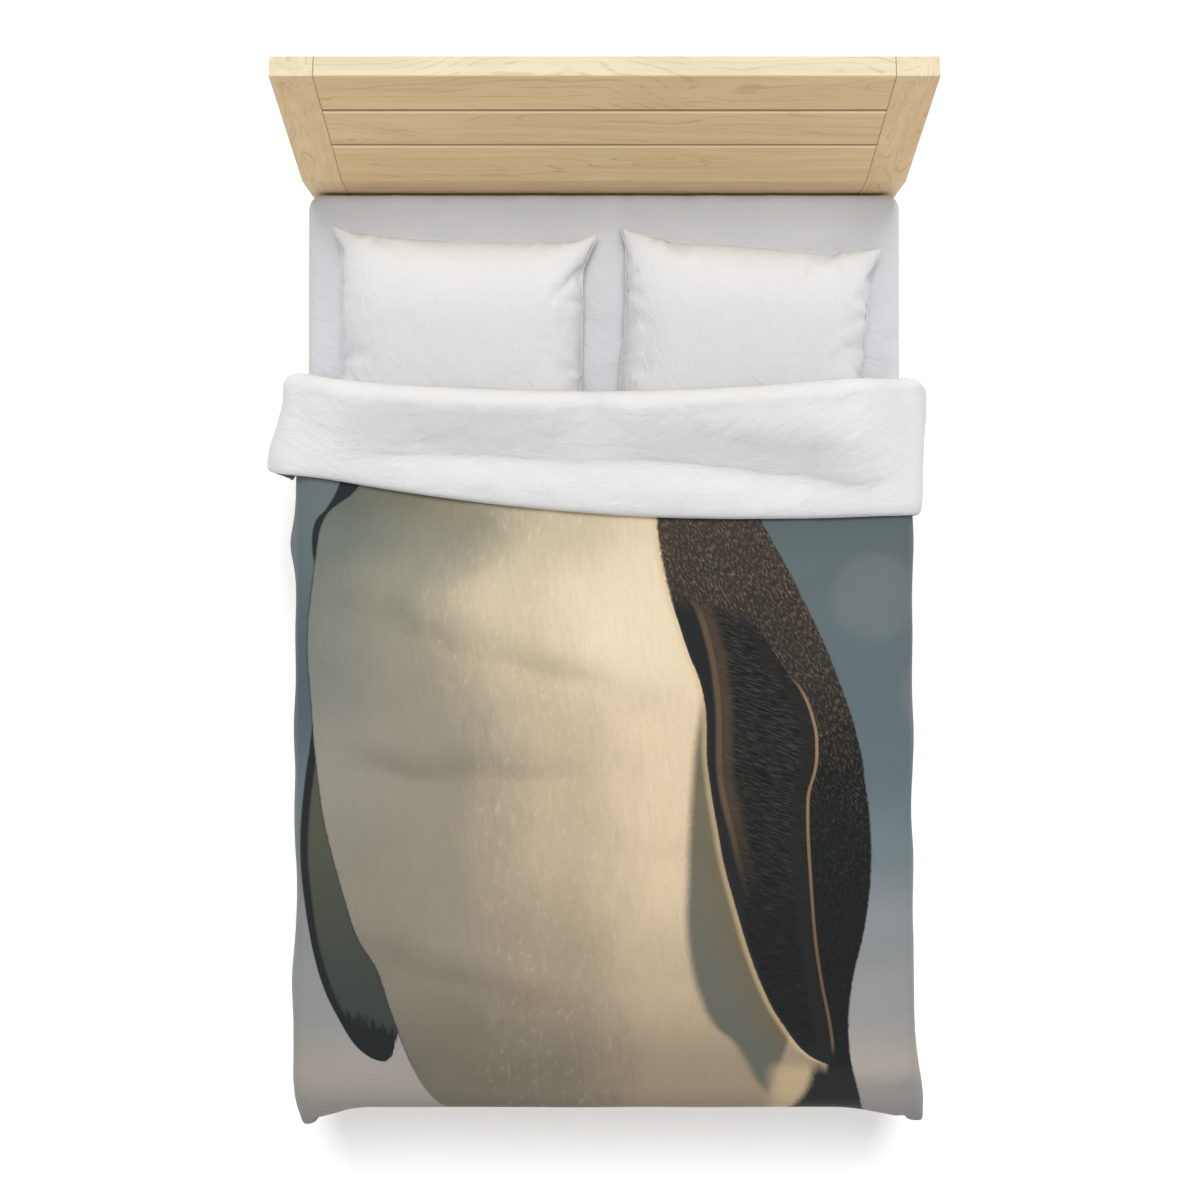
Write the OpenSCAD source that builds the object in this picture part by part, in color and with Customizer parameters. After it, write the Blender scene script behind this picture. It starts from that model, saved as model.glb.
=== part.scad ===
// Double bed, made up: a slatted base with a raked plank headboard, a mattress in a fitted sheet, pillows and a duvet
// whose head end is turned down. Millimetres. +Z is up, +Y points to the head end, and the origin is on the floor in
// the middle of the footprint.

/* [Mattress] */
// Width of the mattress
mattress_w = 1372; // [1300:1:1450]
// Length of the mattress
mattress_l = 2032; // [1900:1:2100]
// Height of the mattress
mattress_h = 250; // [200:5:320]
// Corner radius of the mattress, seen from above
mattress_r = 60; // [30:5:90]
// Thickness of each comfort layer
comfort_h = 35; // [20:5:50]
// Thickness of the quilted mattress cover
ticking_t = 5; // [3:1:8]

/* [Base] */
// Height of the slat tops above the floor
base_z = 300; // [280:5:360]
// Height of the rails
rail_h = 140; // [120:5:160]
// Thickness of the rails
rail_t = 25; // [22:1:35]
// Side of the square foot posts
post_w = 70; // [60:5:90]
// Number of slats
slat_count = 13; // [9:1:14]
// Width of a slat
slat_w = 70; // [50:5:90]
// Thickness of a slat
slat_t = 18; // [15:1:22]
// Thickness of the felt floor glides
glide_t = 5; // [3:1:8]

/* [Headboard] */
// Thickness of the headboard's boards
board_t = 45; // [36:1:55]
// Width of the stiles
stile_w = 90; // [70:5:110]
// Height of the bend above the mattress top
bend_above = 100; // [60:5:140]
// Backward lean of the upper panel, in degrees
rake = 15; // [8:1:18]
// Width of the upper and the middle plank
plank_w = 137; // [110:1:160]
// Width of the bottom plank
bottom_plank_w = 183; // [150:1:200]
// Depth of the chamfer along each plank's long edges
chamfer = 2; // [1:0.5:3]

/* [Pillows] */
// Width of a pillow, between its side seams
pillow_w = 560; // [500:5:600]
// Length of a pillow, between its long seams
pillow_l = 470; // [430:5:500]
// Thickness of a pillow in the middle
pillow_h = 115; // [100:5:125]
// Distance from the bed's centre line to a pillow's centre
pillow_x = 325; // [310:5:340]
// Gap between a pillow's head seam and the headboard
pillow_gap = 105; // [95:1:120]

/* [Duvet] */
// Thickness of the filled insert
fill_t = 24; // [20:1:40]
// Thickness of a layer of the cover
cover_t = 2; // [1:0.5:3]
// Room between the sheet and the duvet at the sides
side_room = 8; // [5:1:20]
// Room between the sheet and the duvet at the foot
foot_room = 70; // [40:1:80]
// Height of the hem at the sides, above the floor
side_hem_z = 165; // [150:5:250]
// Height of the hem at the foot, above the floor
foot_hem_z = 350; // [330:5:420]
// Distance from the headboard to the fold
fold_gap = 432; // [420:1:460]
// Length of the turned-down flap
flap_l = 325; // [280:5:350]
// How far the pillows lift the duvet at its fold above the sheet
fold_lift = 118; // [105:1:130]

/* [Zip] */
// Length of the zip in the foot hem
zip_l = 1260; // [900:10:1300]
// Width of the zip's coil
coil_w = 6; // [5:0.5:8]

/* [Hidden] */
sides = ["left", "right"];
SLATS = [for (i = [1:slat_count]) str("slat_", i)];

// Small fixed sizes
joint_gap = 0.05;
sheet_t = 1;
piping_d = 8;
piping_proud = 4;
elastic_h = 8;
elastic_t = 3;
fold_room = 0.5;
case_t = 1.5;
glide_r = 16;
ledger_w = 30;
beam_w = 40;
beam_h = 60;
centre_leg_w = 45;
hanger_t = 2;
hanger_h = 45;
head_gap = 10;
bolt_r = 4;
bolt_head_r = 9;
bolt_head_t = 4;
bolt_grip = 45;
nut_r = 6;
nut_l = 15;
screw_r = 2;
screw_l = 32;
dowel_r = 5;
dowel_l = 60;
apron_h = 220;
coil_h = 2.5;
tape_t = 1.2;
slider_l = 14;
slider_w = 10;
slider_h = 7;
slider_play = 0.4;
pull_l = 28;
pull_w = 8;
pull_t = 1.5;
tie_l = 60;
tie_w = 10;
tie_t = 2;

// Heights
mattress_top = base_z + mattress_h;
sheet_top = mattress_top + sheet_t;
bend_z = mattress_top + bend_above;
rail_z = base_z - rail_h;
// How far the bend's mitre rises or falls across a board's thickness
bend_mitre = board_t * tan(rake / 2);
slat_z = base_z - slat_t;

// Lengths along the bed, measured from the headboard's front face before the origin is set
panel_l = 2 * plank_w + bottom_plank_w;
back_reach = panel_l * sin(rake) + board_t * cos(rake);
sheet_room = piping_proud + sheet_t;
layer_t = fill_t + 2 * cover_t;
foot_reach = head_gap + mattress_l + sheet_room + foot_room + layer_t;
// The headboard's front face, placed so that the origin is in the middle of the footprint
head_y = (foot_reach - back_reach) / 2;
mattress_head_y = head_y - head_gap;
mattress_foot_y = mattress_head_y - mattress_l;
fold_y = head_y - fold_gap;
flap_y = fold_y - flap_l;
half_w = mattress_w / 2;
stile_x = half_w + 1;
post_x = half_w - post_w;
beam_l = head_y - mattress_foot_y - rail_t;
slat_start = mattress_foot_y + post_w + 2;
slat_pitch = (mattress_head_y - slat_start - slat_w) / (slat_count - 1);
bolt_zs = [rail_z + rail_h * 0.3, rail_z + rail_h * 0.7];
// The foot rail's bolts sit higher than the side rails', so that they pass in the posts
foot_bolt_rise = 2 * bolt_r + 8;

maple = "#dcc08d";
maple_light = "#f3dcb4";
pine = "#e6cfa3";
steel = "#b9bcc0";
linen = "#f4f4f2";

function side_sign(s) = s == "left" ? -1 : 1;
function slat_y(i) = slat_start + slat_w / 2 + (i - 1) * slat_pitch;

// A rectangle about the origin with round corners
module round_rect(w, l, r) {
    square([w - 2 * r, l], center = true);
    square([w, l - 2 * r], center = true);
    for (x = [-1, 1], y = [-1, 1])
        translate([x * (w / 2 - r), y * (l / 2 - r)]) circle(r, $fn = 48);
}

// A block of the mattress's outline, grown outwards by g, between two heights
module mattress_block(g, z0, z1) {
    translate([0, (mattress_head_y + mattress_foot_y) / 2, z0])
        linear_extrude(z1 - z0) round_rect(mattress_w + 2 * g, mattress_l + 2 * g, mattress_r + g);
}

// Moves its children from the upright plane at the bend to the raked upper panel, bottom edge at the bend
module raked() {
    translate([0, head_y, bend_z]) rotate([-rake, 0, 0]) children();
}

// ---- Headboard ----

// A stile: a leg from the floor up to the bend, then the raked upper part, in one profile
module stile_profile() {
    t = board_t;
    top = [panel_l * sin(rake), panel_l * cos(rake)];
    polygon([[0, glide_t - bend_z], [t, glide_t - bend_z], [t, -bend_mitre],
        top + [t * cos(rake), -t * sin(rake)], top, [0, 0]]);
}

// Heights up the rake of the dowels in the three planks: two in each end of each plank
plank_dowel_hs = [for (span = [[0, bottom_plank_w], [bottom_plank_w, plank_w], [bottom_plank_w + plank_w, plank_w]],
    part = [0.28, 0.72]) span[0] + part * span[1]];
// Heights above the floor of the dowels in the upright board and the head rail
upright_dowel_zs = [bend_z - apron_h * 0.75, bend_z - apron_h * 0.3, rail_z + rail_h * 0.25, rail_z + rail_h * 0.75];

// One dowel at each side, half in the stile and half in the board between the stiles
module dowel_row() {
    for (x = [-1, 1])
        translate([x * (stile_x - stile_w), 0, 0]) rotate([0, 90, 0])
            cylinder(h = dowel_l, r = dowel_r, center = true, $fn = 32);
}

module dowels() {
    for (h = plank_dowel_hs) raked() translate([0, board_t / 2, h]) dowel_row();
    for (z = upright_dowel_zs) translate([0, head_y + board_t / 2, z]) dowel_row();
}

// Puts its children at each bolted joint, with y = 0 at the outside face and +Y into the rail. The argument that
// they read as $through is how much wood the bolt crosses before the rail.
module at_bolted_joints() {
    rail_x = half_w - rail_t / 2;
    for (x = [-1, 1]) {
        translate([x * rail_x, head_y + board_t, 0]) rotate([0, 0, 180]) { $through = board_t; children(); }
        translate([x * rail_x, mattress_foot_y, 0]) { $through = post_w; children(); }
        translate([x * half_w, mattress_foot_y + rail_t / 2, foot_bolt_rise]) rotate([0, 0, x * 90]) {
            $through = post_w;
            children();
        }
    }
}

// The two shanks of one joint, one above the other
module shanks() {
    for (z = bolt_zs)
        translate([0, 0, z]) rotate([-90, 0, 0]) cylinder(h = $through + bolt_grip, r = bolt_r, $fn = 32);
}

// The two barrel nuts of one joint, which lie across the rail
module nuts() {
    for (z = bolt_zs)
        translate([0, $through + bolt_grip * 0.7, z]) rotate([0, 90, 0])
            cylinder(h = nut_l, r = nut_r, center = true, $fn = 32);
}

module headboard_stile(s) {
    color(maple) difference() {
        translate([side_sign(s) * (stile_x - stile_w / 2), head_y, bend_z])
            rotate([90, 0, 90]) linear_extrude(stile_w, center = true) stile_profile();
        dowels();
        at_bolted_joints() shanks();
    }
}

// A plank of the upper panel, from height h0 to h1 along the rake, with chamfered long edges on the front. The
// lowest is mitred at the back, to meet the upright board.
module plank(h0, h1, mitre = 0) {
    c = chamfer;
    color(maple) difference() {
        raked() rotate([90, 0, 90]) linear_extrude(2 * (stile_x - stile_w), center = true)
            polygon([[c, h0 + mitre * c / board_t], [board_t, h0 + mitre], [board_t, h1], [c, h1], [0, h1 - c], [0, h0 + c]]);
        dowels();
    }
}

// The upright board between the stiles, just below the bend
module headboard_apron() {
    t = board_t;
    color(maple) difference() {
        translate([0, head_y, bend_z]) rotate([90, 0, 90])
            linear_extrude(2 * (stile_x - stile_w), center = true)
                polygon([[0, -apron_h], [t, -apron_h], [t, -bend_mitre], [0, 0]]);
        dowels();
    }
}

module headboard_dowels() {
    color(pine) dowels();
}

// ---- Base ----

// The low rail between the stiles that carries the head end of the centre beam
module head_rail() {
    color(maple) difference() {
        translate([stile_w - stile_x, head_y, rail_z]) cube([2 * (stile_x - stile_w), board_t, rail_h]);
        dowels();
    }
}

module side_rail(s) {
    y0 = mattress_foot_y + post_w + joint_gap;
    color(maple) difference() {
        translate([side_sign(s) * (half_w - rail_t / 2) - rail_t / 2, y0, rail_z])
            cube([rail_t, head_y - y0, rail_h]);
        at_bolted_joints() { shanks(); nuts(); }
    }
}

module foot_rail() {
    color(maple) difference() {
        translate([-post_x, mattress_foot_y, rail_z]) cube([2 * post_x, rail_t, rail_h]);
        at_bolted_joints() { shanks(); nuts(); }
    }
}

module foot_post(s) {
    color(maple) difference() {
        translate([side_sign(s) * (half_w - post_w / 2) - post_w / 2, mattress_foot_y, glide_t])
            cube([post_w, post_w, base_z - glide_t]);
        at_bolted_joints() shanks();
    }
}

// A bolt has a flat head outside and runs through its barrel nut
module bed_bolts() {
    color(steel) at_bolted_joints() {
        shanks();
        for (z = bolt_zs)
            translate([0, 0, z]) rotate([90, 0, 0]) cylinder(h = bolt_head_t, r = bolt_head_r, $fn = 32);
    }
}

module barrel_nuts() {
    color(steel) difference() {
        at_bolted_joints() nuts();
        at_bolted_joints() shanks();
    }
}

// The ledger screwed inside a side rail, under the slat ends
module slat_ledger(s) {
    y0 = mattress_foot_y + post_w;
    color(pine) difference() {
        translate([side_sign(s) * (half_w - rail_t - ledger_w / 2) - ledger_w / 2, y0, slat_z - ledger_w])
            cube([ledger_w, head_y - y0, ledger_w]);
        screw_shanks();
    }
}

module screw_shanks() {
    for (i = [1:slat_count], x = [-1, 1])
        translate([x * (half_w - rail_t - ledger_w / 2), slat_y(i), base_z - screw_l])
            cylinder(h = screw_l, r = screw_r, $fn = 16);
}

module slat_screws() {
    color(steel) screw_shanks();
}

// A slat runs between the side rails and lies on the ledgers and the centre beam
module slat(i) {
    color(pine) difference() {
        translate([0, slat_y(i), slat_z + slat_t / 2])
            cube([mattress_w - 2 * rail_t - 2, slat_w, slat_t], center = true);
        screw_shanks();
    }
}

module centre_beam() {
    color(pine) translate([-beam_w / 2, mattress_foot_y + rail_t, slat_z - beam_h])
        cube([beam_w, beam_l, beam_h]);
}

module centre_leg() {
    color(pine) translate([-centre_leg_w / 2, -centre_leg_w / 2, glide_t])
        cube([centre_leg_w, centre_leg_w, slat_z - beam_h - glide_t]);
}

// Steel cups that hold the ends of the centre beam
module beam_hangers() {
    w = beam_w + 2 * hanger_t;
    for (y = [mattress_foot_y + rail_t, head_y - hanger_h])
        color(steel) difference() {
            translate([-w / 2, y, slat_z - beam_h - hanger_t]) cube([w, hanger_h, beam_h * 0.8]);
            translate([-beam_w / 2, y - 1, slat_z - beam_h]) cube([beam_w, hanger_h + 2, beam_h]);
        }
}

module floor_glides() {
    xs = [half_w - post_w / 2, stile_x - stile_w / 2];
    ys = [mattress_foot_y + post_w / 2, head_y + board_t / 2];
    color("#6b6258") {
        for (x = [-1, 1], k = [0, 1])
            translate([x * xs[k], ys[k], 0]) cylinder(h = glide_t, r = glide_r, $fn = 48);
        cylinder(h = glide_t, r = glide_r, $fn = 48);
    }
}

// ---- Mattress ----

module mattress_cover() {
    color(linen) difference() {
        mattress_block(0, base_z, mattress_top);
        mattress_block(-ticking_t, base_z + ticking_t, mattress_top - ticking_t);
    }
}

// Piping round the top and the bottom edge
module mattress_piping() {
    color("#d9d9d6") for (z = [base_z + 4, mattress_top - 4 - piping_d])
        difference() {
            mattress_block(piping_proud, z, z + piping_d);
            mattress_block(0, z - 1, z + piping_d + 1);
        }
}

module comfort_layer(z) {
    color("#f1ecd8") mattress_block(-ticking_t, z, z + comfort_h);
}

module spring_unit() {
    color(steel) mattress_block(-ticking_t, base_z + ticking_t + comfort_h, mattress_top - ticking_t - comfort_h);
}

module fitted_sheet() {
    color("white") difference() {
        mattress_block(sheet_room, base_z, sheet_top);
        mattress_block(piping_proud, base_z - 1, mattress_top);
    }
}

// The elastic in the sheet's hem
module sheet_elastic() {
    color("#f7f7f5") difference() {
        mattress_block(sheet_room + elastic_t, base_z + 1, base_z + 1 + elastic_h);
        mattress_block(sheet_room, base_z, base_z + 2 + elastic_h);
    }
}

// ---- Pillows ----

// Height of the pillow's top over its seam plane, at u and v from -1 to 1 across and along it
function pillow_top(u, v) = pow(max(0, 1 - pow(abs(u), 2.6)), 0.55) * pow(max(0, 1 - pow(abs(v), 2.6)), 0.55);

// A closed pillow with a flat underside, drawn in by g on every side
module pillow_form(g) {
    n = 14;
    m = 12;
    w = pillow_w / 2 - g;
    l = pillow_l / 2 - g;
    h = pillow_h - 2 * g;
    edge_h = 3;
    ring = n + 1;
    top = [for (j = [0:m], i = [0:n])
        let (u = sin(90 * (2 * i / n - 1)), v = sin(90 * (2 * j / m - 1)))
            [u * w, v * l, g + edge_h + (h - edge_h) * pillow_top(u, v)]];
    low = [for (p = top) [p[0], p[1], g]];
    count = len(top);
    faces = concat(
        [for (j = [0:m - 1], i = [0:n - 1])
            let (a = j * ring + i) [a, a + ring, a + ring + 1, a + 1]],
        [for (j = [0:m - 1], i = [0:n - 1])
            let (a = count + j * ring + i) [a, a + 1, a + ring + 1, a + ring]],
        [for (i = [0:n - 1]) [i, i + 1, count + i + 1, count + i]],
        [for (i = [0:n - 1]) let (a = m * ring + i) [a + 1, a, count + a, count + a + 1]],
        [for (j = [0:m - 1]) let (a = j * ring) [a + ring, a, count + a, count + a + ring]],
        [for (j = [0:m - 1]) let (a = j * ring + n) [a, a + ring, count + a + ring, count + a]]);
    polyhedron(concat(top, low), faces);
}

module at_pillow(s) {
    translate([side_sign(s) * pillow_x, head_y - pillow_gap - pillow_l / 2, sheet_top + fold_room])
        children();
}

module pillow_insert(s) {
    color("#fbfbfa") at_pillow(s) pillow_form(case_t);
}

module pillowcase(s) {
    color("white") at_pillow(s) difference() {
        pillow_form(0);
        pillow_form(case_t);
    }
}

// ---- Duvet ----

// The silhouette across the bed of everything under the duvet surface at offset a from its lining: a square-cornered
// arch with rounded shoulders, open at the bottom
module across(a) {
    w = half_w + sheet_room + side_room + a;
    r = 20 + a;
    top = sheet_top + 1 + fold_lift + a;
    translate([-w, 0]) square([2 * w, top - r]);
    translate([r - w, 0]) square([2 * (w - r), top]);
    for (x = [-1, 1]) translate([x * (w - r), top - r]) circle(r, $fn = 48);
}

// The same along the bed: up from the foot, over a rounded edge, flat, then up over the pillows' lower ends
module along(a, end) {
    y0 = mattress_foot_y - sheet_room - foot_room - a;
    r = 20 + a;
    z0 = sheet_top + 1 + a;
    ramp_y = head_y - pillow_gap - pillow_l - 40;
    s = a * tan(20);
    difference() {
        polygon([[y0, 0], [end, 0], [end, z0 + fold_lift], [ramp_y + 110 - s, z0 + fold_lift],
            [ramp_y + 38 - s, z0 + fold_lift * 0.62], [ramp_y - s, z0], [y0 + r, z0], [y0, z0 - r]]);
    }
    translate([y0 + r, z0 - r]) circle(r, $fn = 48);
}

// Everything under the duvet surface at offset a, from the foot to y = end
module under(a, end) {
    intersection() {
        rotate([90, 0, 90]) linear_extrude(2 * mattress_w, center = true) along(a, end);
        translate([0, end, 0]) rotate([90, 0, 0]) linear_extrude(2 * mattress_l) across(a);
    }
}

// Keeps what lies above the hems: the side hems, and the higher foot hem. Rise moves both hems up.
module above_hems(rise) {
    difference() {
        children();
        translate([-mattress_w, duvet_foot_y - 1, -1])
            cube([2 * mattress_w, 2 * mattress_l, side_hem_z + rise + 1]);
        translate([-mattress_w, duvet_foot_y - 1, 0])
            cube([2 * mattress_w, 1 + layer_t + mattress_r + rise, foot_hem_z + rise]);
    }
}

// A layer of the main part, between offsets a and b from the lining, up to y = end
module main_layer(a, b, end, rise = 0) {
    above_hems(rise) difference() {
        under(b, end);
        under(a, end + 1);
    }
}

// A layer of the flap, between offsets a and b, from the flap's hem to y = end
module flap_layer(a, b, end, rise = 0) {
    intersection() {
        main_layer(a, b, end, rise);
        translate([-mattress_w, flap_y + rise, 0]) cube([2 * mattress_w, mattress_l, 2 * bend_z]);
    }
}

// Offsets of the surfaces from the lining outwards: the main part's, then the flap's
main_low = cover_t;
main_top = main_low + fill_t;
face_top = main_top + cover_t;
flap_face = face_top + fold_room;
flap_low = flap_face + cover_t;
flap_top = flap_low + fill_t;
flap_back = flap_top + cover_t;
// The outermost y at the foot, the zip's line, and where the fold starts and where its filling ends
duvet_foot_y = mattress_foot_y - sheet_room - foot_room - face_top;
zip_y = duvet_foot_y + layer_t / 2;
insert_end = fold_y - cover_t;
turn_y = insert_end - fill_t / 2;
hem_side_x = half_w + sheet_room + side_room;

// A tie at each corner of the insert, in a notch of it: two near the foot, two at the flap's hem
module tie_places() {
    for (x = [-1, 1]) {
        translate([x * (hem_side_x + (main_low + main_top) / 2), duvet_foot_y + layer_t + mattress_r + 30,
            side_hem_z + cover_t + tie_l / 2]) cube([tie_t, tie_w, tie_l], center = true);
        translate([x * (hem_side_x + (flap_low + flap_top) / 2), flap_y + 30,
            side_hem_z + cover_t + tie_l / 2]) cube([tie_t, tie_w, tie_l], center = true);
    }
}

module filling() {
    main_layer(main_low, main_top, insert_end, cover_t);
    flap_layer(flap_low, flap_top, insert_end, cover_t);
    intersection() {
        main_layer(main_low, flap_top, insert_end, cover_t);
        translate([-mattress_w, turn_y, 0]) cube([2 * mattress_w, fill_t, 2 * bend_z]);
    }
}

module duvet_insert() {
    color("#fdfdfc") difference() {
        filling();
        tie_places();
    }
}

module corner_ties() {
    color("white") tie_places();
}

// The printed face: over the top of the main part, then back along the underside of the flap
module duvet_cover_face() {
    color("#8d9694") {
        main_layer(main_top, face_top, turn_y);
        flap_layer(flap_face, flap_low, turn_y);
    }
}

// The white back: the lining and its hems, round the fold, then over the flap and round the flap's hem
module duvet_cover_back() {
    color("white") difference() {
        union() {
            main_layer(0, main_top, fold_y);
            flap_layer(flap_low, flap_back, fold_y);
            intersection() {
                main_layer(0, flap_back, fold_y);
                translate([-mattress_w, turn_y, 0]) cube([2 * mattress_w, fill_t, 2 * bend_z]);
            }
        }
        filling();
        translate([-zip_l / 2, duvet_foot_y + cover_t, foot_hem_z - 1]) cube([zip_l, fill_t, 1 + cover_t]);
    }
}

// ---- Zip in the foot hem ----

// The tape closes the hem between the two skins, with the coil on its underside
module zip_tape() {
    color("#f2f2f0") translate([0, zip_y, foot_hem_z + tape_t / 2]) cube([zip_l, fill_t, tape_t], center = true);
}

module zip_coil() {
    color("#e4e4e2") translate([0, zip_y, foot_hem_z - coil_h / 2]) cube([zip_l, coil_w, coil_h], center = true);
}

// Where the slider rests, at the closed end
slider_x = -zip_l / 2 + slider_l;
slider_top = foot_hem_z - slider_play;

// A channel that wraps the coil from below
module zip_slider() {
    color(steel) difference() {
        translate([slider_x, zip_y, slider_top - slider_h / 2]) cube([slider_l, slider_w, slider_h], center = true);
        translate([slider_x, zip_y, slider_top - coil_h / 2])
            cube([slider_l + 2, coil_w + 2 * slider_play, coil_h + 2 * slider_play], center = true);
    }
}

module zip_pull() {
    color(steel) translate([slider_x, zip_y, slider_top - slider_h - pull_l / 2])
        cube([pull_t, pull_w, pull_l], center = true);
}

for (s = sides) {
    headboard_stile(s);
    side_rail(s);
    foot_post(s);
    slat_ledger(s);
    pillow_insert(s);
    pillowcase(s);
}
for (i = [1:slat_count])
    slat(i);
plank(bottom_plank_w + plank_w, panel_l);  // plank_top
plank(bottom_plank_w, bottom_plank_w + plank_w);  // plank_middle
plank(0, bottom_plank_w, bend_mitre);  // plank_bottom
headboard_apron();
head_rail();
foot_rail();
centre_beam();
centre_leg();
beam_hangers();
headboard_dowels();
bed_bolts();
barrel_nuts();
slat_screws();
floor_glides();
mattress_cover();
mattress_piping();
comfort_layer(mattress_top - ticking_t - comfort_h);  // comfort_layer_top
comfort_layer(base_z + ticking_t);  // comfort_layer_bottom
spring_unit();
fitted_sheet();
sheet_elastic();
duvet_insert();
duvet_cover_face();
duvet_cover_back();
corner_ties();
zip_tape();
zip_coil();
zip_slider();
zip_pull();
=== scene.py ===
# The looks of the made-up bed: wood, mattress, sheet, pillows and the duvet with its printed cover.
# Metres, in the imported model's frame: +Z up, +Y to the head end, origin on the floor under the bed's middle.
import math

import bpy
import numpy as np
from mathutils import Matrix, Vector, noise
from mathutils.bvhtree import BVHTree


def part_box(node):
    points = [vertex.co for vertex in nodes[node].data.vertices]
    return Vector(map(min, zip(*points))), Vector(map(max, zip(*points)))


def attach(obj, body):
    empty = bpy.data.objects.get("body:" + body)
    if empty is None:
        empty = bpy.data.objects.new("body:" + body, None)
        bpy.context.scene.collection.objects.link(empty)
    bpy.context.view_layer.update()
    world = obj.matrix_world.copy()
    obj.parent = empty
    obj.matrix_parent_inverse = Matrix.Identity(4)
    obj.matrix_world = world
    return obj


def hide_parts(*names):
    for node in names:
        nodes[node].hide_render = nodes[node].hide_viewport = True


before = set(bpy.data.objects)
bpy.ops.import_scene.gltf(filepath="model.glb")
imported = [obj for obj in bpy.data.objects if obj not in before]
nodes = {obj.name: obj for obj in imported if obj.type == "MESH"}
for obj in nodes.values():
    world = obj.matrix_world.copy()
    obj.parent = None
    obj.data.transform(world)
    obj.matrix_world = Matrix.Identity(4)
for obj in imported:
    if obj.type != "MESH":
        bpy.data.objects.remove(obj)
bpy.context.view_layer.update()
scene = bpy.context.scene

# ---- Places, read from the frame ----

sheet_low, sheet_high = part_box("fitted_sheet")
mattress_low, mattress_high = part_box("mattress_cover")
back_low, back_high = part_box("duvet_cover_back")
tape_low, tape_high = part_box("zip_tape")

HEAD_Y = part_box("headboard_apron")[0].y  # the headboard's upright front face
SHEET_TOP = sheet_high.z
FOLD_Y = back_high.y  # the duvet's turned edge
FOOT_Y = back_low.y  # the duvet's outermost line at the foot
ZIP_Y = (tape_low.y + tape_high.y) / 2
ZIP_HALF = tape_high.x

# ---- The duvet's own sizes ----

LAYER = 0.028  # thickness of a full layer
MID = LAYER / 2
SIDE_ROOM = 0.008  # between the sheet and the duvet
DRAPE_STEP = 0.032  # spacing of the simulated cloth


def lerp(a, b, t):
    return a + (b - a) * t


def smooth(a, b, x):
    """0 at a, 1 at b and a smooth step between, on arrays too. With a above b it falls."""
    t = np.clip((np.asarray(x, float) - a) / (b - a), 0, 1)
    return t * t * (3 - 2 * t)


def hump(x, centre, width):
    """A smooth bump of height 1 about a centre."""
    return np.exp(-((np.asarray(x, float) - centre) / width) ** 2)


# ---- Meshes as arrays of points ----

def new_object(name, data):
    obj = bpy.data.objects.new(name, data)
    scene.collection.objects.link(obj)
    return obj


def mesh_object(name, points, faces):
    mesh = bpy.data.meshes.new(name)
    mesh.from_pydata([tuple(p) for p in points], [], faces)
    mesh.validate()
    mesh.shade_smooth()
    return new_object(name, mesh)


def points_of(mesh):
    co = np.empty(len(mesh.vertices) * 3)
    mesh.vertices.foreach_get("co", co)
    return co.reshape(-1, 3)


def move_points(obj, co):
    obj.data.vertices.foreach_set("co", np.asarray(co, float).ravel())
    obj.data.update()


def grid_faces(rows, columns, start=0, flip=False):
    faces = [(start + r * columns + c, start + r * columns + c + 1,
              start + (r + 1) * columns + c + 1, start + (r + 1) * columns + c)
             for r in range(rows - 1) for c in range(columns - 1)]
    return [f[::-1] for f in faces] if flip else faces


def grid_border(rows, columns):
    """The points round the edge of a grid, by their index."""
    return ([c for c in range(columns)] + [r * columns + columns - 1 for r in range(1, rows)]
            + [(rows - 1) * columns + c for c in range(columns - 2, -1, -1)]
            + [r * columns for r in range(rows - 2, 0, -1)])


def tube_faces(rings, sides):
    """The faces of a closed tube whose points run ring by ring."""
    return [(i * sides + j, i * sides + (j + 1) % sides, (i + 1) % rings * sides + (j + 1) % sides,
             (i + 1) % rings * sides + j) for i in range(rings) for j in range(sides)]


def grid_normals(grid):
    """Unit normals of a grid of points [rows, columns, 3], up for rows along +Y and columns along +X."""
    across = np.gradient(grid, axis=1)
    along = np.gradient(grid, axis=0)
    n = np.cross(across, along)
    return n / np.maximum(np.linalg.norm(n, axis=2, keepdims=True), 1e-9)


def refine(grid, times):
    """The grid with each step cut into `times` by a cubic curve through its points, along both axes."""
    for axis in (0, 1):
        g = np.moveaxis(grid, axis, 0)
        count = len(g)
        at = np.linspace(0, count - 1, (count - 1) * times + 1)
        i = np.minimum(at.astype(int), count - 2)
        t = (at - i)[:, None, None]
        g = np.concatenate([[2 * g[0] - g[1]], g, [2 * g[-1] - g[-2]]])
        before, a, b, after = g[i], g[i + 1], g[i + 2], g[i + 3]
        g = 0.5 * (2 * a + (b - before) * t + (2 * before - 5 * a + 4 * b - after) * t ** 2
                   + (3 * a - before - 3 * b + after) * t ** 3)
        grid = np.moveaxis(g, 0, axis)
    return grid


def soften(grid, rounds, axis):
    """Averages each point of the grid with its neighbours along an axis, the ends kept."""
    g = np.moveaxis(grid.copy(), axis, 0)
    for _ in range(rounds):
        g[1:-1] = 0.25 * g[:-2] + 0.5 * g[1:-1] + 0.25 * g[2:]
    return np.moveaxis(g, 0, axis)


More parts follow.
